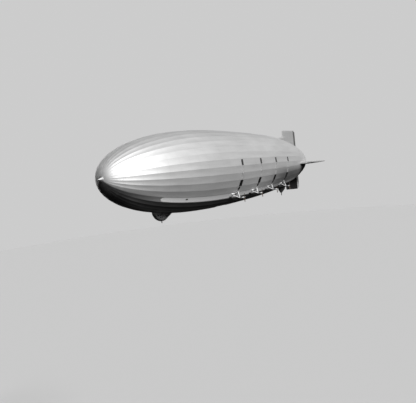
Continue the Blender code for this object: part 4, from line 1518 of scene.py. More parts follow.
@dataclass
class Drive(Engine):
    """Swivelling gearbox and its two-bladed pusher propeller."""

    hub_out: float = 18.4
    pod_radius: float = 0.485
    nose: float = 1.0
    tail: float = 1.3
    # Share of the pod's length and of its radius; the tip of its nose has a radius of 0.04
    pod: Table = (
        (0.0, 0.04 / 0.485), (0.01, 0.25), (0.035, 0.45), (0.09, 0.68), (0.17, 0.88), (0.25, 0.98),
        (0.30, 1.0), (0.305, 1.02), (0.34, 1.02), (0.345, 1.0), (0.58, 1.0), (0.585, 1.02),
        (0.62, 1.02), (0.625, 1.0), (0.75, 0.92), (0.90, 0.74), (0.985, 0.66), (1.0, 0.62),
    )
    pod_bolt: Table = ((0.0, 0.03), (0.8, 0.03), (1.0, 0.02))
    knuckle: float = 0.41
    knuckle_profile: Table = ((0.0, 0.97), (0.25, 0.97), (0.27, 0.86), (1.0, 0.86))
    cap: Table = ((0.0, 0.26), (0.7, 0.26), (1.0, 0.20))
    cap_sides: Table = ((0.0, 1.0), (0.0, -1.0), (1.0, 0.0))
    propeller_radius: float = 2.5
    hub_radius: float = 0.33
    hub_half: float = 0.25
    hub: Table = (
        (0.0, 0.78), (0.04, 0.95), (0.16, 0.95), (0.18, 0.85), (0.82, 0.85), (0.84, 0.95), (0.92, 0.95),
        (0.96, 0.5), (1.0, 0.2),
    )
    # Share of the radius, chord, thickness and pitch in degrees
    blade: Table = (
        (0.05, 0.30, 0.24, 62.0), (0.25, 0.40, 0.15, 48.0), (0.50, 0.46, 0.10, 33.0),
        (0.80, 0.36, 0.07, 22.0), (1.00, 0.16, 0.05, 18.0),
    )

    @property
    def centre(self) -> Vector:
        """Centre of the swivel, in the ship's metres on the port side."""
        return Vector((x_of(self.station), self.hub_out, -self.hub_down))

    def build_gearbox(self) -> None:
        """Pod with joint rings, inspection caps, and the knuckle that turns in the boss."""
        r = self.pod_radius
        bag = Bag().bar((self.nose, 0.0, 0.0), (-self.tail, 0.0, 0.0), self.pod, circle(32), 0, r)
        inner = (0.0, self.boss_out - self.hub_out + SEAT, 0.0)
        bag.bar(inner, (0.0, 0.1, 0.0), self.knuckle_profile, circle(28), 1, self.knuckle)
        for y, z in self.cap_sides:
            bag.bar((0.1, 0.3 * y, 0.3 * z), (0.1, 0.492 * y, 0.492 * z), self.cap, circle(16), 1)
        bag.bolts((0.42, 0.52), r * 0.86, 10, self.pod_bolt, 2)
        bag.turned(Matrix.Translation(self.centre)).on_side(self.side)
        node, looks = f"gearbox_{self.word}", (Look.POD, Look.CASTING, Look.STEEL)
        self.yard.make(bag, f"gear_pod_{self.word}", looks, Slot.GEARBOX, node, node, 38.0)

    def blade_rings(self, low: float, grow: float) -> np.ndarray:
        """Twisted sections of an upright blade from a share of its radius to its round tip.

        A section is a teardrop of the chord and thickness there, turned by the pitch.

        Args:
            low: Share where the length starts.
            grow: Factor on chord and thickness.

        Returns:
            Array of rings by points by x, y, z about the hub.
        """
        at = np.linspace(low, 1.0, max(6, int(26 * (1.0 - low))))
        end = np.sqrt(np.clip(1.0 - ((at - 0.93) / 0.072).clip(0.0) ** 2, 0.02, 1.0))
        section = teardrop(20, 1.0)
        along = grow * 0.5 * (smooth_through(self.blade, at) * end)[:, None] * section[None, :, 0]
        off = grow * 0.5 * (smooth_through(self.blade, at, 2) * end)[:, None] * section[None, :, 1]
        turn = np.radians(smooth_through(self.blade, at, 3))[:, None]
        x = along * np.sin(turn) + off * np.cos(turn)
        y = along * np.cos(turn) - off * np.sin(turn)
        z = np.broadcast_to((at * self.propeller_radius)[:, None], x.shape)
        return np.stack([x, y, z], axis=-1)

    def build_propeller(self) -> None:
        """Hub with its bolted plates, and two wooden blades with metal tips."""
        half, r = self.hub_half, self.hub_radius
        blade = self.blade_rings(0.05, 1.0), self.blade_rings(0.78, 1.05)
        bag = Bag().rings(blade[0]).rings(blade[1], 1).turned(Matrix.Rotation(math.pi, 4, "X"))
        bag.rings(blade[0]).rings(blade[1], 1)
        bag.bar((half, 0.0, 0.0), (-half, 0.0, 0.0), self.hub, circle(28), 2, r)
        bolt = ((0.0, 0.03), (1.0, 0.03))
        bag.bolts((-half + 0.05, -half + 0.005), r * 0.68, 8, bolt, 2, 0.5)
        behind = Vector((self.tail + half + SEAT, 0.0, 0.0))
        bag.turned(Matrix.Translation(self.centre - behind)).on_side(self.side)
        node, looks = f"propeller_{self.word}", (Look.WOOD, Look.TIP_METAL, Look.STEEL)
        self.yard.make(bag, f"blades_{self.word}", looks, Slot.PROPELLER, node, node, 45.0)


# Sub-assemblies of the tail


@dataclass(frozen=True)
class FinPlan:
    """Place and heights of a fin and of the surface hinged to it."""

    fin: str
    surface: str
    turn: float
    drop: float
    front: float
    rear: float
    tip_station: float
    look: Look = Look.FIN
    surface_look: Look = Look.ELEVATOR
    strake: float = 1.0


LEVEL = (2.2, 23.3, 24.4, 186.4)
FIN_PLANS = (
    FinPlan("fin_upper", "rudder_upper", 0.0, 0.0, 24.7, 25.8, 188.6, Look.FIN, Look.RUDDER),
    # The lower fin's near-black cloth is painted shadow
    FinPlan(
        "fin_lower", "rudder_lower", 180.0, 0.0, 21.6, 23.2, 188.0, Look.SOOTED_FIN, Look.PALE_RUDDER, 0.0
    ),
    FinPlan("fin_port", "elevator_port", -90.0, *LEVEL),
    FinPlan("fin_starboard", "elevator_starboard", 90.0, *LEVEL),
)


@dataclass
class Fin:
    """Thick cloth-covered fin and the rudder or elevator on its post."""

    yard: Yard
    plan: FinPlan
    hinge: float = 215.0
    end: float = 219.8
    thickness: float = 2.56
    rake: float = 0.12
    base: float = 7.0
    nose_root: float = 0.50
    nose_tip: float = 0.34
    gap: float = 0.06
    edge: float = 0.03
    tip_drop: float = 1.2
    root_gap: float = 0.45
    notch: float = 0.66
    lug: float = 0.155
    lug_half: float = 0.175
    lug_shares: tuple[float, float] = (0.20, 0.80)
    # Share of the chord from which the flanks run straight to the post
    flat: float = 0.7
    # Share of the chord and share of the thickness
    section: Table = ((0.0, 0.04), (0.015, 0.27), (0.07, 0.57), (0.2, 0.89), (0.4, 0.99), (0.7, 0.81))
    # Share of the span and share of the thickness
    fullness: Table = ((0.0, 1.0), (0.93, 0.50), (0.985, 0.36), (1.0, 0.18))
    # Share of the span and metres by which the leading edge lies further aft, or further ahead
    rounding: Table = ((0.93, 0.0), (0.985, 0.25), (1.0, 0.9))
    strake: Table = ((0.58, 14.5), (0.66, 8.5), (0.71, 0.0))

    @property
    def about(self) -> Matrix:
        """Matrix from the upright fin to its place."""
        turn = Matrix.Rotation(math.radians(self.plan.turn), 4, "X")
        return Matrix.Translation((0.0, 0.0, -self.plan.drop)) @ turn

    def place(self, share: np.ndarray, chord: np.ndarray) -> tuple[np.ndarray, np.ndarray]:
        """Stations and heights of the fin's middle plane.

        Args:
            share: Share of the span, nought at the base inside the hull.
            chord: Share of the chord, nought at the leading edge.

        Returns:
            The stations and the heights, one for each pair.
        """
        plan = self.plan
        lead = plan.tip_station - (plan.front - self.base) * (1.0 - share) * self.rake
        lead = lead + straight_through(self.rounding, share)
        lead = lead - plan.strake * straight_through(self.strake, share)
        post = self.hinge - self.nose_root - self.gap
        height = self.base + share * (plan.front - self.base + (plan.rear - plan.front) * chord)
        return lead + (post - lead) * chord, height

    def root_share(self, chord: np.ndarray) -> np.ndarray:
        """Share of the span at which the fin comes out of the cover, counted on a fine scale of heights.

        Args:
            chord: Shares of the chord.

        Returns:
            The share of the span for each.
        """
        station, height = self.place(np.linspace(0.0, 1.0, 1001)[:, None], chord)
        root = np.sqrt(FORM.radius_at(station) ** 2 - self.plan.drop**2) - 0.25
        return np.mean(height < root, axis=0)

    def nose(self, height: np.ndarray) -> np.ndarray:
        """Radius of the surface's round nose at a height."""
        share = np.clip((height - self.base) / (self.plan.rear - self.base), 0.0, 1.0)
        return self.nose_root + (self.nose_tip - self.nose_root) * share

    def lug_heights(self) -> list[float]:
        """Middle of each hinge along the post."""
        root = float(FORM.radius_at(self.hinge))
        return [root + (self.plan.rear - root) * share for share in self.lug_shares]

    def build_fin(self) -> None:
        """Fin from just under the cover to its rounded tip, with the hinge lugs."""
        plan = self.plan
        span = np.concatenate([np.linspace(0.0, 0.9, 28), [0.93, 0.95, 0.97, 0.985, 0.995, 1.0]])[:, None]
        chord = eased(27)
        root = self.root_share(chord)
        share = root + (1.0 - root) * span
        station, height = self.place(share, chord)
        full = straight_through(self.fullness, share) * self.thickness / 2.0
        flank = full * smooth_through(self.section, np.minimum(chord, self.flat))
        back = np.minimum(self.nose(height), 0.9 * full)
        half = flank + (back - flank) * np.clip((chord - self.flat) / (1.0 - self.flat), 0.0, 1.0)
        bag = Bag().rings(both_sides(np.stack([x_of(station), half, height], axis=-1)))
        x = x_of(self.hinge)
        post = x_of(self.hinge - self.nose_root - self.gap) + 0.1
        thick, over = self.lug * 0.75, 0.002
        for middle in self.lug_heights():
            low, high = middle - self.lug_half, middle + self.lug_half
            bag.block((x, -thick, low), (post, thick, high), 1)
            bag.rod((x, 0.0, low), (x, 0.0, high), self.lug, 20, 1)
            bag.rod((x, 0.0, low - over), (x, 0.0, high + over), self.lug * 0.5, 12, 2)
        bag.turned(self.about)
        looks = (plan.look, Look.CASTING, Look.STEEL)
        self.yard.make(bag, f"{plan.fin}_cloth", looks, Slot.FIN, plan.fin, sharp=40.0)

    def build_surface(self) -> None:
        """Rudder or elevator: a body behind the notches and lengths of round nose between them."""
        plan = self.plan
        root_front, root_back = (float(FORM.radius_at(s)) + self.root_gap for s in (self.hinge, self.end))
        length = self.end - self.hinge
        span = np.concatenate([np.linspace(0.0, 0.9, 9), [0.95, 0.98, 1.0]])[:, None]
        full = straight_through(((0.9, 1.0), (1.0, 0.6)), span)
        chord = np.linspace(self.notch / length, 1.0, 9)[None, :]
        low = root_front + (root_back - root_front) * chord
        height = low + (plan.rear - self.tip_drop * chord - low) * span
        radius = self.nose(height)
        half = (radius + (self.edge - radius) * chord) * full
        port = np.stack([x_of(self.hinge + length * chord) + 0.0 * span, half, height], axis=-1)
        bag = Bag().rings(both_sides(port))
        room = self.lug_half + 0.02
        cuts = [root_front, *(m + s * room for m in self.lug_heights() for s in (-1.0, 1.0)), plan.rear]
        for start, stop in zip(cuts[::2], cuts[1::2]):
            bag.rings(self.nose_rings(start, stop))
        bag.turned(self.about)
        name, looks = plan.surface, (plan.surface_look,)
        self.yard.make(bag, f"{name}_cloth", looks, Slot.SURFACE, name, name, 40.0)

    def nose_rings(self, start: float, stop: float) -> np.ndarray:
        """Length of round nose about the hinge, smaller at the tip.

        Args:
            start: Height of its lower end.
            stop: Height of its upper end.

        Returns:
            Array of rings by points by x, y, z.
        """
        height = np.linspace(start, stop, 7)[:, None]
        tip = np.clip((self.plan.rear - height) / (0.1 * (self.plan.rear - start)), 0.0, 1.0)
        radius = self.nose(height) * (0.6 + 0.4 * tip)
        turn = np.radians(np.linspace(90.0, -90.0, 13))[None, :]
        aft = self.hinge + (self.notch + 0.05) * np.ones_like(height)
        back = radius * (1.0 - self.notch / (self.end - self.hinge)) * 0.97
        station = np.concatenate([self.hinge - radius * np.cos(turn), aft, aft], axis=1)
        half = np.concatenate([radius * np.sin(turn), -back, back], axis=1)
        return np.stack([x_of(station), half, np.broadcast_to(height, half.shape)], axis=-1)


# The car and the wheels


@dataclass
class Car:
    """Control car: a thin shell with real window openings, panes, and its cabin inside."""

    yard: Yard
    # Station, half width and depth below the hull's axis
    sections: Table = (
        (26.6, 0.34, 15.9), (27.4, 0.92, 17.1), (28.7, 1.26, 18.7), (30.0, 1.37, 19.55),
        (31.4, 1.40, 20.02), (33.4, 1.30, 20.05), (36.4, 0.86, 18.95), (39.4, 0.28, 17.8),
    )
    top: float = 14.8
    wall: float = 0.08
    # Forward and after edge, top and foot
    door: tuple[float, float, float, float] = (32.35, 33.35, 17.25, 19.0)
    door_gap: float = 0.06
    upper: tuple[float, float] = (16.95, 17.55)
    lower: tuple[float, float] = (17.92, 18.56)
    window_width: float = 0.88
    upper_windows: Row = (28.33, 29.43, 30.53)
    lower_windows: Row = (29.43, 30.53, 34.0, 35.05)
    # First and last station, and share of the depth where the opening starts
    front_windows: Table = ((27.295, 27.727, 0.958), (28.008, 28.558, 0.973))
    centre_post: float = 0.9992
    pivot_out: float = 0.09
    knuckle: float = 0.075
    floor: float = -19.05
    # After and forward station, starboard and port side, bottom, top, slot and bevel
    furniture: Table = (
        (35.2, 29.9, -0.82, 0.82, -19.11, -19.05, 0, 0.2),
        (33.75, 33.66, -0.95, 0.95, -19.05, -17.1, 1, 0.0),
        (35.4, 28.4, -0.7, 0.7, -17.05, -17.0, 1, 0.0),
        (33.2, 31.9, -1.0, -0.45, -18.43, -18.37, 3, 0.05),
        (33.1, 33.02, -0.95, -0.5, -19.05, -18.43, 3, 0.0),
        (32.05, 31.98, -0.95, -0.5, -19.05, -18.43, 3, 0.0),
    )
    # Station, place across and radius of the two steering wheels
    steering: Table = ((30.1, 0.0, 0.26), (31.1, -0.85, 0.24))
    stand: Table = ((0.0, 0.10), (0.9, 0.06), (1.0, 0.08))
    handle_inset: float = 0.2
    # Bars of the handle: distance off the skin and height of both ends, then both radii
    handle: Table = ((-0.02, -18.3, 0.07, -18.3, 0.03, 0.025), (0.06, -18.42, 0.06, -18.18, 0.02, 0.02))

    @property
    def window_rows(self) -> tuple[tuple[Row, Row], ...]:
        """The two rows of side windows: their stations, and the depths of their top and foot."""
        return (self.upper_windows, self.upper), (self.lower_windows, self.lower)

    def levels(self) -> tuple[np.ndarray, np.ndarray]:
        """Finds where the columns of the shell lie.

        Returns:
            Their depths, and the shares of the local depth that cap them.
        """
        edges = (*self.upper, *self.lower, *self.door[2:])
        depth = [self.top, 15.9, 16.4, *edges, 19.4, 19.7, 19.9, 20.0, 20.05]
        share = [0.0, 0.27, 0.45, 0.64, 0.72, 0.81, 0.87, 0.94, 0.958, 0.973, 0.985, 0.9945]
        return np.sort(depth), np.array([*share, self.centre_post, 1.0])

    def deepest(self, rows: np.ndarray) -> np.ndarray:
        """Depth of the keel at stations."""
        return smooth_through(self.sections, rows, 2)

    def half_width(self, station: np.ndarray, share: np.ndarray) -> np.ndarray:
        """Half width w (1 - d^9)^0.5 at a share d of the local depth."""
        return smooth_through(self.sections, station) * np.sqrt(np.clip(1.0 - share**9, 0.0, 1.0))

    def surface(self, rows: np.ndarray, inset: float = 0.0) -> np.ndarray:
        """Grid of the port half of the shell, drawn in by an inset, from its top to the keel.

        Args:
            rows: Stations of the rows.
            inset: Distance inwards.

        Returns:
            Array of stations by levels by x, y, z.
        """
        deep = self.deepest(rows)[:, None] - self.top
        level, cap = self.levels()
        depth = np.minimum(level[None, :], self.top + deep * cap[None, :])
        share = (depth - self.top) / deep
        half = np.maximum(self.half_width(rows[:, None], share) - inset, 0.0)
        down = depth - inset * np.clip(share * 3.0 - 2.0, 0.0, 1.0)
        return np.stack([np.broadcast_to(x_of(rows[:, None]), half.shape), half, -down], axis=-1)

    def rows(self) -> np.ndarray:
        """Stations of the shell's rows, with one at every edge of a window or the door.

        Returns:
            The stations.
        """
        start, stop = self.sections[0][0], self.sections[-1][0]
        edges = {start, stop, *self.door[:2]}
        for place in (*self.upper_windows, *self.lower_windows):
            edges |= {place, place + self.window_width}
        for window in self.front_windows:
            edges |= set(window[:2])
        fill = np.arange(start, stop, 0.3)
        known = np.array(sorted(edges))
        far = np.abs(fill[:, None] - known[None, :]).min(axis=1) > 0.12
        return np.sort(np.concatenate([known, fill[far]]))

    def window_mask(self, rows: np.ndarray, door: bool) -> np.ndarray:
        """Finds the faces of the port half that the windows take away.

        Args:
            rows: Stations of the rows.
            door: Whether the doorway is open too.

        Returns:
            Truth for each face.
        """
        middle = (rows[1:] + rows[:-1]) / 2.0
        level, cap = self.levels()
        between, across = (level[1:] + level[:-1]) / 2.0, (cap[1:] + cap[:-1]) / 2.0

        def opening(start: float, end: float, inside: np.ndarray) -> np.ndarray:
            """Faces between two stations whose columns are inside."""
            return ((middle > start) & (middle < end))[:, None] & inside[None, :]

        mask = np.zeros((len(middle), len(between)), bool)
        for start, end, side in self.front_windows:
            mask |= opening(start, end, (across > side) & (across < self.centre_post))
        for places, (high, low) in self.window_rows:
            for place in places:
                mask |= opening(place, place + self.window_width, (between > high) & (between < low))
        start, end, high, low = self.door
        mask &= ~opening(start, end, np.ones(len(between), bool))
        return mask | opening(start, end, (between > high) & (between < low)) if door else mask

    def both(self, rows: np.ndarray, inset: float = 0.0) -> np.ndarray:
        """Grid of both halves, from the port top round the keel to the starboard top."""
        return both_sides(self.surface(rows, inset), -2)

    def build_shell(self) -> None:
        """Shell of the car with its ends closed, window frames, sills and the door's knuckle."""
        rows = self.rows()
        port, starboard = self.window_mask(rows, True), self.window_mask(rows, False)
        keep = ~np.concatenate([port, starboard[:, ::-1]], axis=1)
        bag = Bag().shell(self.both(rows), self.both(rows, self.wall), False, keep)
        middle = self.both(rows, self.wall / 2.0)
        for row, inwards in ((0, -1.0), (-1, 1.0)):
            near, far = (middle[row] + np.array([inwards * depth, 0.0, 0.0]) for depth in (0.01, 0.06))
            bag.rings(np.stack([near, far]))
        for places, (high, low) in self.window_rows:
            for place in places:
                for depth in (high - 0.03, low + 0.03):
                    self.add_rail(bag, place - 0.05, place + self.window_width + 0.05, depth)
        self.add_knuckle(bag, -1.0, ((-0.15, 0.15),))
        # Painted shade: dark shell and trim
        looks = (Look.CAR, Look.CAR_TRIM, Look.STEEL)
        self.yard.make(bag, "car_shell", looks, Slot.CAR, "control_car", sharp=28.0)

    def add_rail(self, bag: Bag, start: float, end: float, depth: float) -> None:
        """Adds a thin rail along both sides of the shell, for a window's sill or head.

        Args:
            bag: Where it goes.
            start: Station of its forward end.
            end: Station of its after end.
            depth: Its depth below the hull's axis.
        """
        rows = np.linspace(start, end, 5)
        share = (depth - self.top) / (self.deepest(rows) - self.top)
        half, x = self.half_width(rows, share), x_of(rows)
        for side in Side:
            corners = [
                np.stack([x, side.value * (half + out), np.full_like(x, up - depth)], axis=-1)
                for out, up in ((-0.02, -0.03), (0.025, -0.03), (0.025, 0.03), (-0.02, 0.03))
            ]
            bag.rings(np.stack(corners, axis=1), 1)

    def add_knuckle(self, bag: Bag, aft: float, spans: Table) -> None:
        """Adds hinge barrels and straps on the door's axis.

        Args:
            bag: Where they go.
            aft: One for straps that run aft on the leaf, minus one for those ahead on the car.
            spans: Lowest and highest place of each barrel about the door's middle.
        """
        start, _, high, low = self.door
        half = straight_through((self.sections[4][:2], self.sections[5][:2]), start)
        x, y, middle = x_of(start), half + self.pivot_out, -(high + low) / 2.0
        for below, above in spans:
            bottom, top = middle + below, middle + above
            bag.rod((x, y, bottom), (x, y, top), self.knuckle, 16, 2)
            near, far = (x - aft * 0.03, y - 0.17, bottom + 0.02), (x - aft * 0.24, y + 0.01, top - 0.02)
            bag.block(near, far, 2)

    def build_glass(self) -> None:
        """Panes behind the openings, each a thin slab that follows the shell."""
        rows = self.rows()
        windows = self.window_mask(rows, False)
        keep = np.concatenate([windows, windows[:, ::-1]], axis=1)
        bag = Bag().shell(self.both(rows, 0.03), self.both(rows, 0.05), False, keep)
        self.yard.make(bag, "car_panes", (Look.GLASS,), Slot.CAR)

    def build_cabin(self) -> None:
        """Floor, bulkhead and ceiling of the cabin, its table, and the wheels on their stands."""
        bag = Bag()
        for aft, fore, starboard, port, bottom, top, slot, bevel in self.furniture:
            low, high = (x_of(aft), starboard, bottom), (x_of(fore), port, top)
            bag.block(low, high, int(slot), bevel)
        for station, y, radius in self.steering:
            foot = np.array((x_of(station), y, self.floor))
            bag.bar(foot, foot + (0.0, 0.0, 0.75), self.stand, circle(12), 2)
            axle = np.array((0.0, 0.02, 0.0) if y else (0.02, 0.0, 0.0))
            hub = foot + (0.0, 0.0, 0.78)
            bag.rod(hub + axle, hub + 3.0 * axle, radius, 24, 3)
        self.yard.make(bag, "car_cabin", (Look.BOARDS, Look.LINING, Look.STEEL, Look.WOOD), Slot.CAR)

    def build_door(self) -> None:
        """Door leaf that follows the shell, with its handle, window and knuckles."""
        start, end, high, low = self.door
        gap = self.door_gap
        rows = np.linspace(start + gap, end - gap, 5)
        levels = np.linspace(high + gap, low - gap, 13)[None, :]
        share = (levels - self.top) / (self.deepest(rows)[:, None] - self.top)
        half = self.half_width(rows[:, None], share)
        x, z = np.broadcast_arrays(x_of(rows[:, None]), -levels)
        outer = np.stack([x, half, z], axis=-1)
        keep = np.ones((4, 12), bool)
        keep[1:3, 1:5] = False
        bag = Bag().shell(outer, outer - (0.0, self.wall, 0.0), False, keep)
        pane = outer[1:4, 1:6] - (0.0, 0.03, 0.0)
        bag.shell(pane, pane - (0.0, 0.02, 0.0), False, np.ones((2, 4), bool), 3)
        x, y = x_of(end - self.handle_inset), float(half[3, 7])
        for near, z0, far, z1, thick, thin in self.handle:
            profile = ((0.0, thick), (1.0, thin))
            bag.bar((x, y + near, z0), (x, y + far, z1), profile, circle(10), 2)
        self.add_knuckle(bag, 1.0, ((-0.45, -0.153), (0.153, 0.45)))
        # Painted shade: the leaf takes the car's dark shell and trim
        looks = (Look.CAR, Look.CAR_TRIM, Look.STEEL, Look.GLASS)
        self.yard.make(bag, "car_door_leaf", looks, Slot.CAR, "car_door", "car_door")


@dataclass
class Wheel:
    """Tyre on a disc wheel."""

    yard: Yard
    name: str
    station: float
    depth: float
    radius: float
    width_share: float = 0.40
    grooves: Row = (0.32, 0.44, 0.56, 0.68)
    groove_half: float = 0.018
    groove_depth: float = 0.035
    disc: Table = ((0.0, 0.30), (0.02, 0.6), (0.98, 0.6), (1.0, 0.3))

    def build(self) -> None:
        """Builds the wheel from turned profiles, with grooves around the tyre.

        At a share s of the width the tyre's radius is r (0.78 + 0.215 (4 s (1 - s))^0.35).
        """
        half = self.radius * self.width_share / 2.0
        share = np.linspace(0.0, 1.0, 81)
        size = 0.78 + 0.215 * (4.0 * share * (1.0 - share)) ** 0.35
        nearest = np.abs(share[:, None] - np.array(self.grooves)).min(axis=1)
        size -= np.where(nearest < self.groove_half, self.groove_depth, 0.0)
        bag = Bag()
        tyre = np.stack([share, size], axis=-1)
        for number, (wide, profile, count) in enumerate(((1.0, tyre, 48), (1.02, self.disc, 32))):
            near, far = ((x_of(self.station), s * half * wide, -self.depth) for s in (1.0, -1.0))
            bag.bar(near, far, profile, circle(count), number, self.radius)
        looks = (Look.RUBBER, Look.CASTING)
        self.yard.make(bag, f"{self.name}_tyre", looks, Slot.WHEEL, self.name, self.name, 35.0)


@dataclass
class Fork:
    """Fork of a wheel: crown, two legs and the axle's bosses."""

    wheel: Wheel
    top: float
    thickness: float = 0.12
    width_share: float = 0.34
    room: float = 0.12
    # Share of the full width below the axle, above it and at the crown
    leg_widths: Row = (0.55, 0.8, 1.0)

    def add_to(self, bag: Bag, slot: int) -> None:
        """Adds the fork to a bag.

        Args:
            bag: Where it goes.
            slot: Number of its finish.
        """
        wheel = self.wheel
        x, axle, width = x_of(wheel.station), -wheel.depth, wheel.radius * self.width_share
        half = wheel.radius * 0.42 / 2.0
        outer = half + SEAT + self.thickness
        crown = axle + wheel.radius + self.room
        bag.block((x - width, -outer, crown), (x + width, outer, -self.top), slot, 0.04)
        heights = (axle - width, axle + width, crown + 0.02)
        for sign in (1.0, -1.0):
            near, far = sorted((sign * (half + 0.075), sign * outer))
            rings = [
                [(x + s * w * width, y, z) for s, y in ((1.0, near), (1.0, far), (-1.0, far), (-1.0, near))]
                for w, z in zip(self.leg_widths, heights)
            ]
            bag.rings(np.array(rings), slot)
            inner, end = sorted((sign * (half + SEAT), sign * (outer - 0.01)))
            bag.rod((x, inner, axle), (x, end, axle), width * 0.75, 20, slot)

    def build(self, name: str) -> None:
        """Builds the fork as a piece of its own.

        Args:
            name: Name of the piece.
        """
        bag = Bag()
        self.add_to(bag, 0)
        self.wheel.yard.make(bag, name, (Look.STEEL,), Slot.FORK, "car_wheel_fork")


@dataclass
class Pylon:
    """Dark streamlined pylon ahead of the lower fin, with the fork of its wheel; the dark is painted shade.
    """

    yard: Yard
    # Depth and first station, last station, thickness there
    leads: Table = ((15.0, 169.6), (20.2, 170.7), (22.7, 174.9))
    trails: Table = ((15.0, 186.2), (20.2, 185.0), (22.7, 177.7))
    thicknesses: Table = ((15.0, 1.28), (20.2, 1.08), (22.7, 0.68))
    # Share of the chord and share of the thickness
    section: Table = ((0.0, 0.05), (0.12, 0.69), (0.35, 0.97), (0.75, 0.72), (1.0, 0.06))
    crown: float = 22.3

    def station(self, depth: np.ndarray, chord: np.ndarray) -> np.ndarray:
        """Stations of the pylon at depths below the axis and shares of its chord."""
        lead = straight_through(self.leads, depth)
        return lead + (straight_through(self.trails, depth) - lead) * chord

    def build(self, wheel: Wheel) -> None:
        """Builds the pylon from its root under the cover to the fork.

        Args:
            wheel: The wheel in its fork.
        """
        chord = eased(23)
        top, foot = self.leads[0][0], self.leads[-1][0]
        depth = np.linspace(top, foot, 801)[:, None]
        root = FORM.flats_at(self.station(depth, chord)) - 0.12
        start = top + (foot - top) * np.mean(depth < root, axis=0)
        depth = start + (foot - start) * np.linspace(0.0, 1.0, 33)[:, None]
        half = straight_through(self.thicknesses, depth) / 2.0 * smooth_through(self.section, chord)
        bag = Bag().rings(both_sides(np.stack([x_of(self.station(depth, chord)), half, -depth], axis=-1)))
        Fork(wheel, self.crown).add_to(bag, 1)
        # Painted shade: the pylon's near-black finish
        looks = (Look.DARK, Look.STEEL)
        self.yard.make(bag, "tail_pylon_fairing", looks, Slot.PYLON, "tail_pylon", sharp=40.0)


# The room around the ship


@dataclass(frozen=True)
class Viewpoint:
    """Camera at the photograph's viewing angle."""

    place: Place = (19.8324, 9.9953, -0.1985)
    ahead: Place = (-0.84402, -0.53083, -0.07647)
    up: Place = (-0.12267, 0.05228, 0.99107)
    lens: float = 31.612
    reach: tuple[float, float] = (0.5, 4000.0)

    def build(self) -> None:
        """Builds the camera and makes it the scene's."""
        data = bpy.data.cameras.new("camera")
        data.lens = self.lens
        data.clip_start, data.clip_end = self.reach
        made = bpy.data.objects.new("camera", data)
        bpy.context.scene.collection.objects.link(made)
        ahead = Vector(self.ahead).normalized()
        right = ahead.cross(Vector(self.up)).normalized()
        turn = Matrix((right, right.cross(ahead), -ahead)).transposed().to_4x4()
        made.matrix_world = Matrix.Translation(self.place) @ turn
        bpy.context.scene.camera = made


@dataclass(frozen=True)
class Sun:
    """Broad light from far away."""

    name: str
    power: float
    angle: float
    source: Place

    def build(self) -> None:
        """Builds the light, shining from its source towards the ship."""
        data = bpy.data.lights.new(self.name, "SUN")
        data.energy, data.angle = self.power, math.radians(self.angle)
        made = bpy.data.objects.new(self.name, data)
        made.rotation_euler = Vector(self.source).to_track_quat("Z", "Y").to_euler()
        bpy.context.scene.collection.objects.link(made)


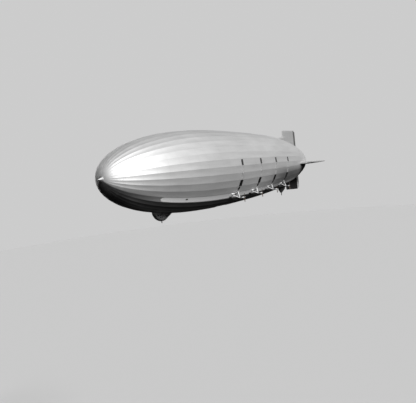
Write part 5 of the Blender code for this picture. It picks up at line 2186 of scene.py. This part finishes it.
@dataclass(frozen=True)
class Studio:
    """Pale floor, a soft key light from the port bow, two weaker ones, and a dome over a dark ground."""

    floor_height: float = -80.0
    floor_radius: float = 600.0
    floor_tone: float = 0.54
    backdrop: float = 0.605
    sky: float = 0.009
    glow: float = 0.60
    ground: float = 0.005
    lights: tuple[Sun, ...] = (
        Sun("key", 3.95, 10.0, (0.29, 0.79, 0.54)),
        Sun("ahead", 1.2, 40.0, (0.68, 0.56, 0.47)),
        Sun("fill", 0.9, 40.0, (-0.55, -0.82, 0.10)),
    )

    def build(self) -> None:
        """Builds the floor, the lights and the surrounding light."""
        bpy.context.scene.view_settings.view_transform = "Standard"
        self.build_floor()
        for light in self.lights:
            light.build()
        self.build_dome()

    def build_floor(self) -> None:
        """Wide plain floor far below the ship: a thick round slab."""
        top, bottom = self.floor_height / SCALE, (self.floor_height - 1.0) / SCALE
        bag = Bag().rod((0.0, 0.0, bottom), (0.0, 0.0, top), self.floor_radius / SCALE, 96)
        made, board, shader = new_finish("floor")
        board.feed(shader, {"Base Color": grey(self.floor_tone), "Roughness": 1.0, "Specular IOR Level": 0.0})
        floor = bag.piece("floor", [made], 30.0)
        floor.visible_diffuse = False
        floor.visible_glossy = False

    def build_dome(self) -> None:
        """World that lights the ship from above, and that the camera sees as a pale backdrop."""
        world = bpy.data.worlds.new("dome")
        bpy.context.scene.world = world
        world.use_nodes = True
        board = Board(world.node_tree)
        direction = board.node("ShaderNodeTexCoord", {}).outputs["Generated"]
        source = tuple(Vector(self.lights[0].source).normalized())
        facing = board.node("ShaderNodeVectorMath", {0: direction, 1: source}, operation="DOT_PRODUCT")
        glow = board.math("POWER", board.math("MAXIMUM", facing.outputs["Value"], 0.0), 2.0)
        sky = board.math("MULTIPLY_ADD", glow, self.glow, self.sky)
        above = board.ramp(board.parts(direction)[2], -0.15, 0.10)
        lit = world.node_tree.nodes["Background"]
        strength = board.math("MULTIPLY_ADD", above, sky, self.ground)
        board.feed(lit, {"Color": grey(1.0), "Strength": strength})
        seen = board.node("ShaderNodeBackground", {"Color": grey(1.0), "Strength": self.backdrop})
        camera = board.node("ShaderNodeLightPath", {}).outputs["Is Camera Ray"]
        chosen = board.node("ShaderNodeMixShader", {0: camera, 1: lit.outputs[0], 2: seen.outputs[0]})
        board.feed(world.node_tree.nodes["World Output"], {"Surface": chosen.outputs[0]})


def dress_nodes(nodes: dict[str, bpy.types.Object], finish: bpy.types.Material) -> None:
    """Gives every CAD node a finish; the rails of the hangar stay in sight.

    Args:
        nodes: The CAD nodes.
        finish: The finish.
    """
    for made in nodes.values():
        made.data.materials.clear()
        made.data.materials.append(finish)


def build_ship(yard: Yard) -> None:
    """Builds every sub-assembly of the ship.

    Args:
        yard: What makes the pieces.
    """
    Hull(yard).build()
    ends, hangar, car = Ends(yard), Hangar(yard), Car(yard)
    ends.build_cap()
    ends.build_cone()
    ends.build_tail()
    Fittings(yard).build()
    hangar.build_bay()
    for side in Side:
        hangar.build_leaf(side)
        for number, station in enumerate(ENGINE_STATIONS, 1):
            Condenser(yard, station, number, side).build()
            Outrigger(yard, station, number, side).build()
            drive = Drive(yard, station, number, side)
            drive.build_gearbox()
            drive.build_propeller()
    for plan in FIN_PLANS:
        fin = Fin(yard, plan)
        fin.build_fin()
        fin.build_surface()
    car.build_shell()
    car.build_glass()
    car.build_cabin()
    car.build_door()
    car_wheel = Wheel(yard, "car_wheel", 32.0, 20.62, 0.32)
    Fork(car_wheel, 20.026).build("car_fork")
    car_wheel.build()
    tail_wheel = Wheel(yard, "tail_wheel", 176.3, 24.1, 0.62)
    Pylon(yard).build(tail_wheel)
    tail_wheel.build()


def main() -> None:
    """Builds the looks in order and reports each piece."""
    logging.basicConfig(level=logging.INFO, format="%(name)s %(message)s")
    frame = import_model()
    yard = Yard()
    dress_nodes(frame["nodes"], yard.materials[Look.CASTING])
    build_ship(yard)
    Viewpoint().build()
    Studio().build()


if __name__ == "__main__":
    main()
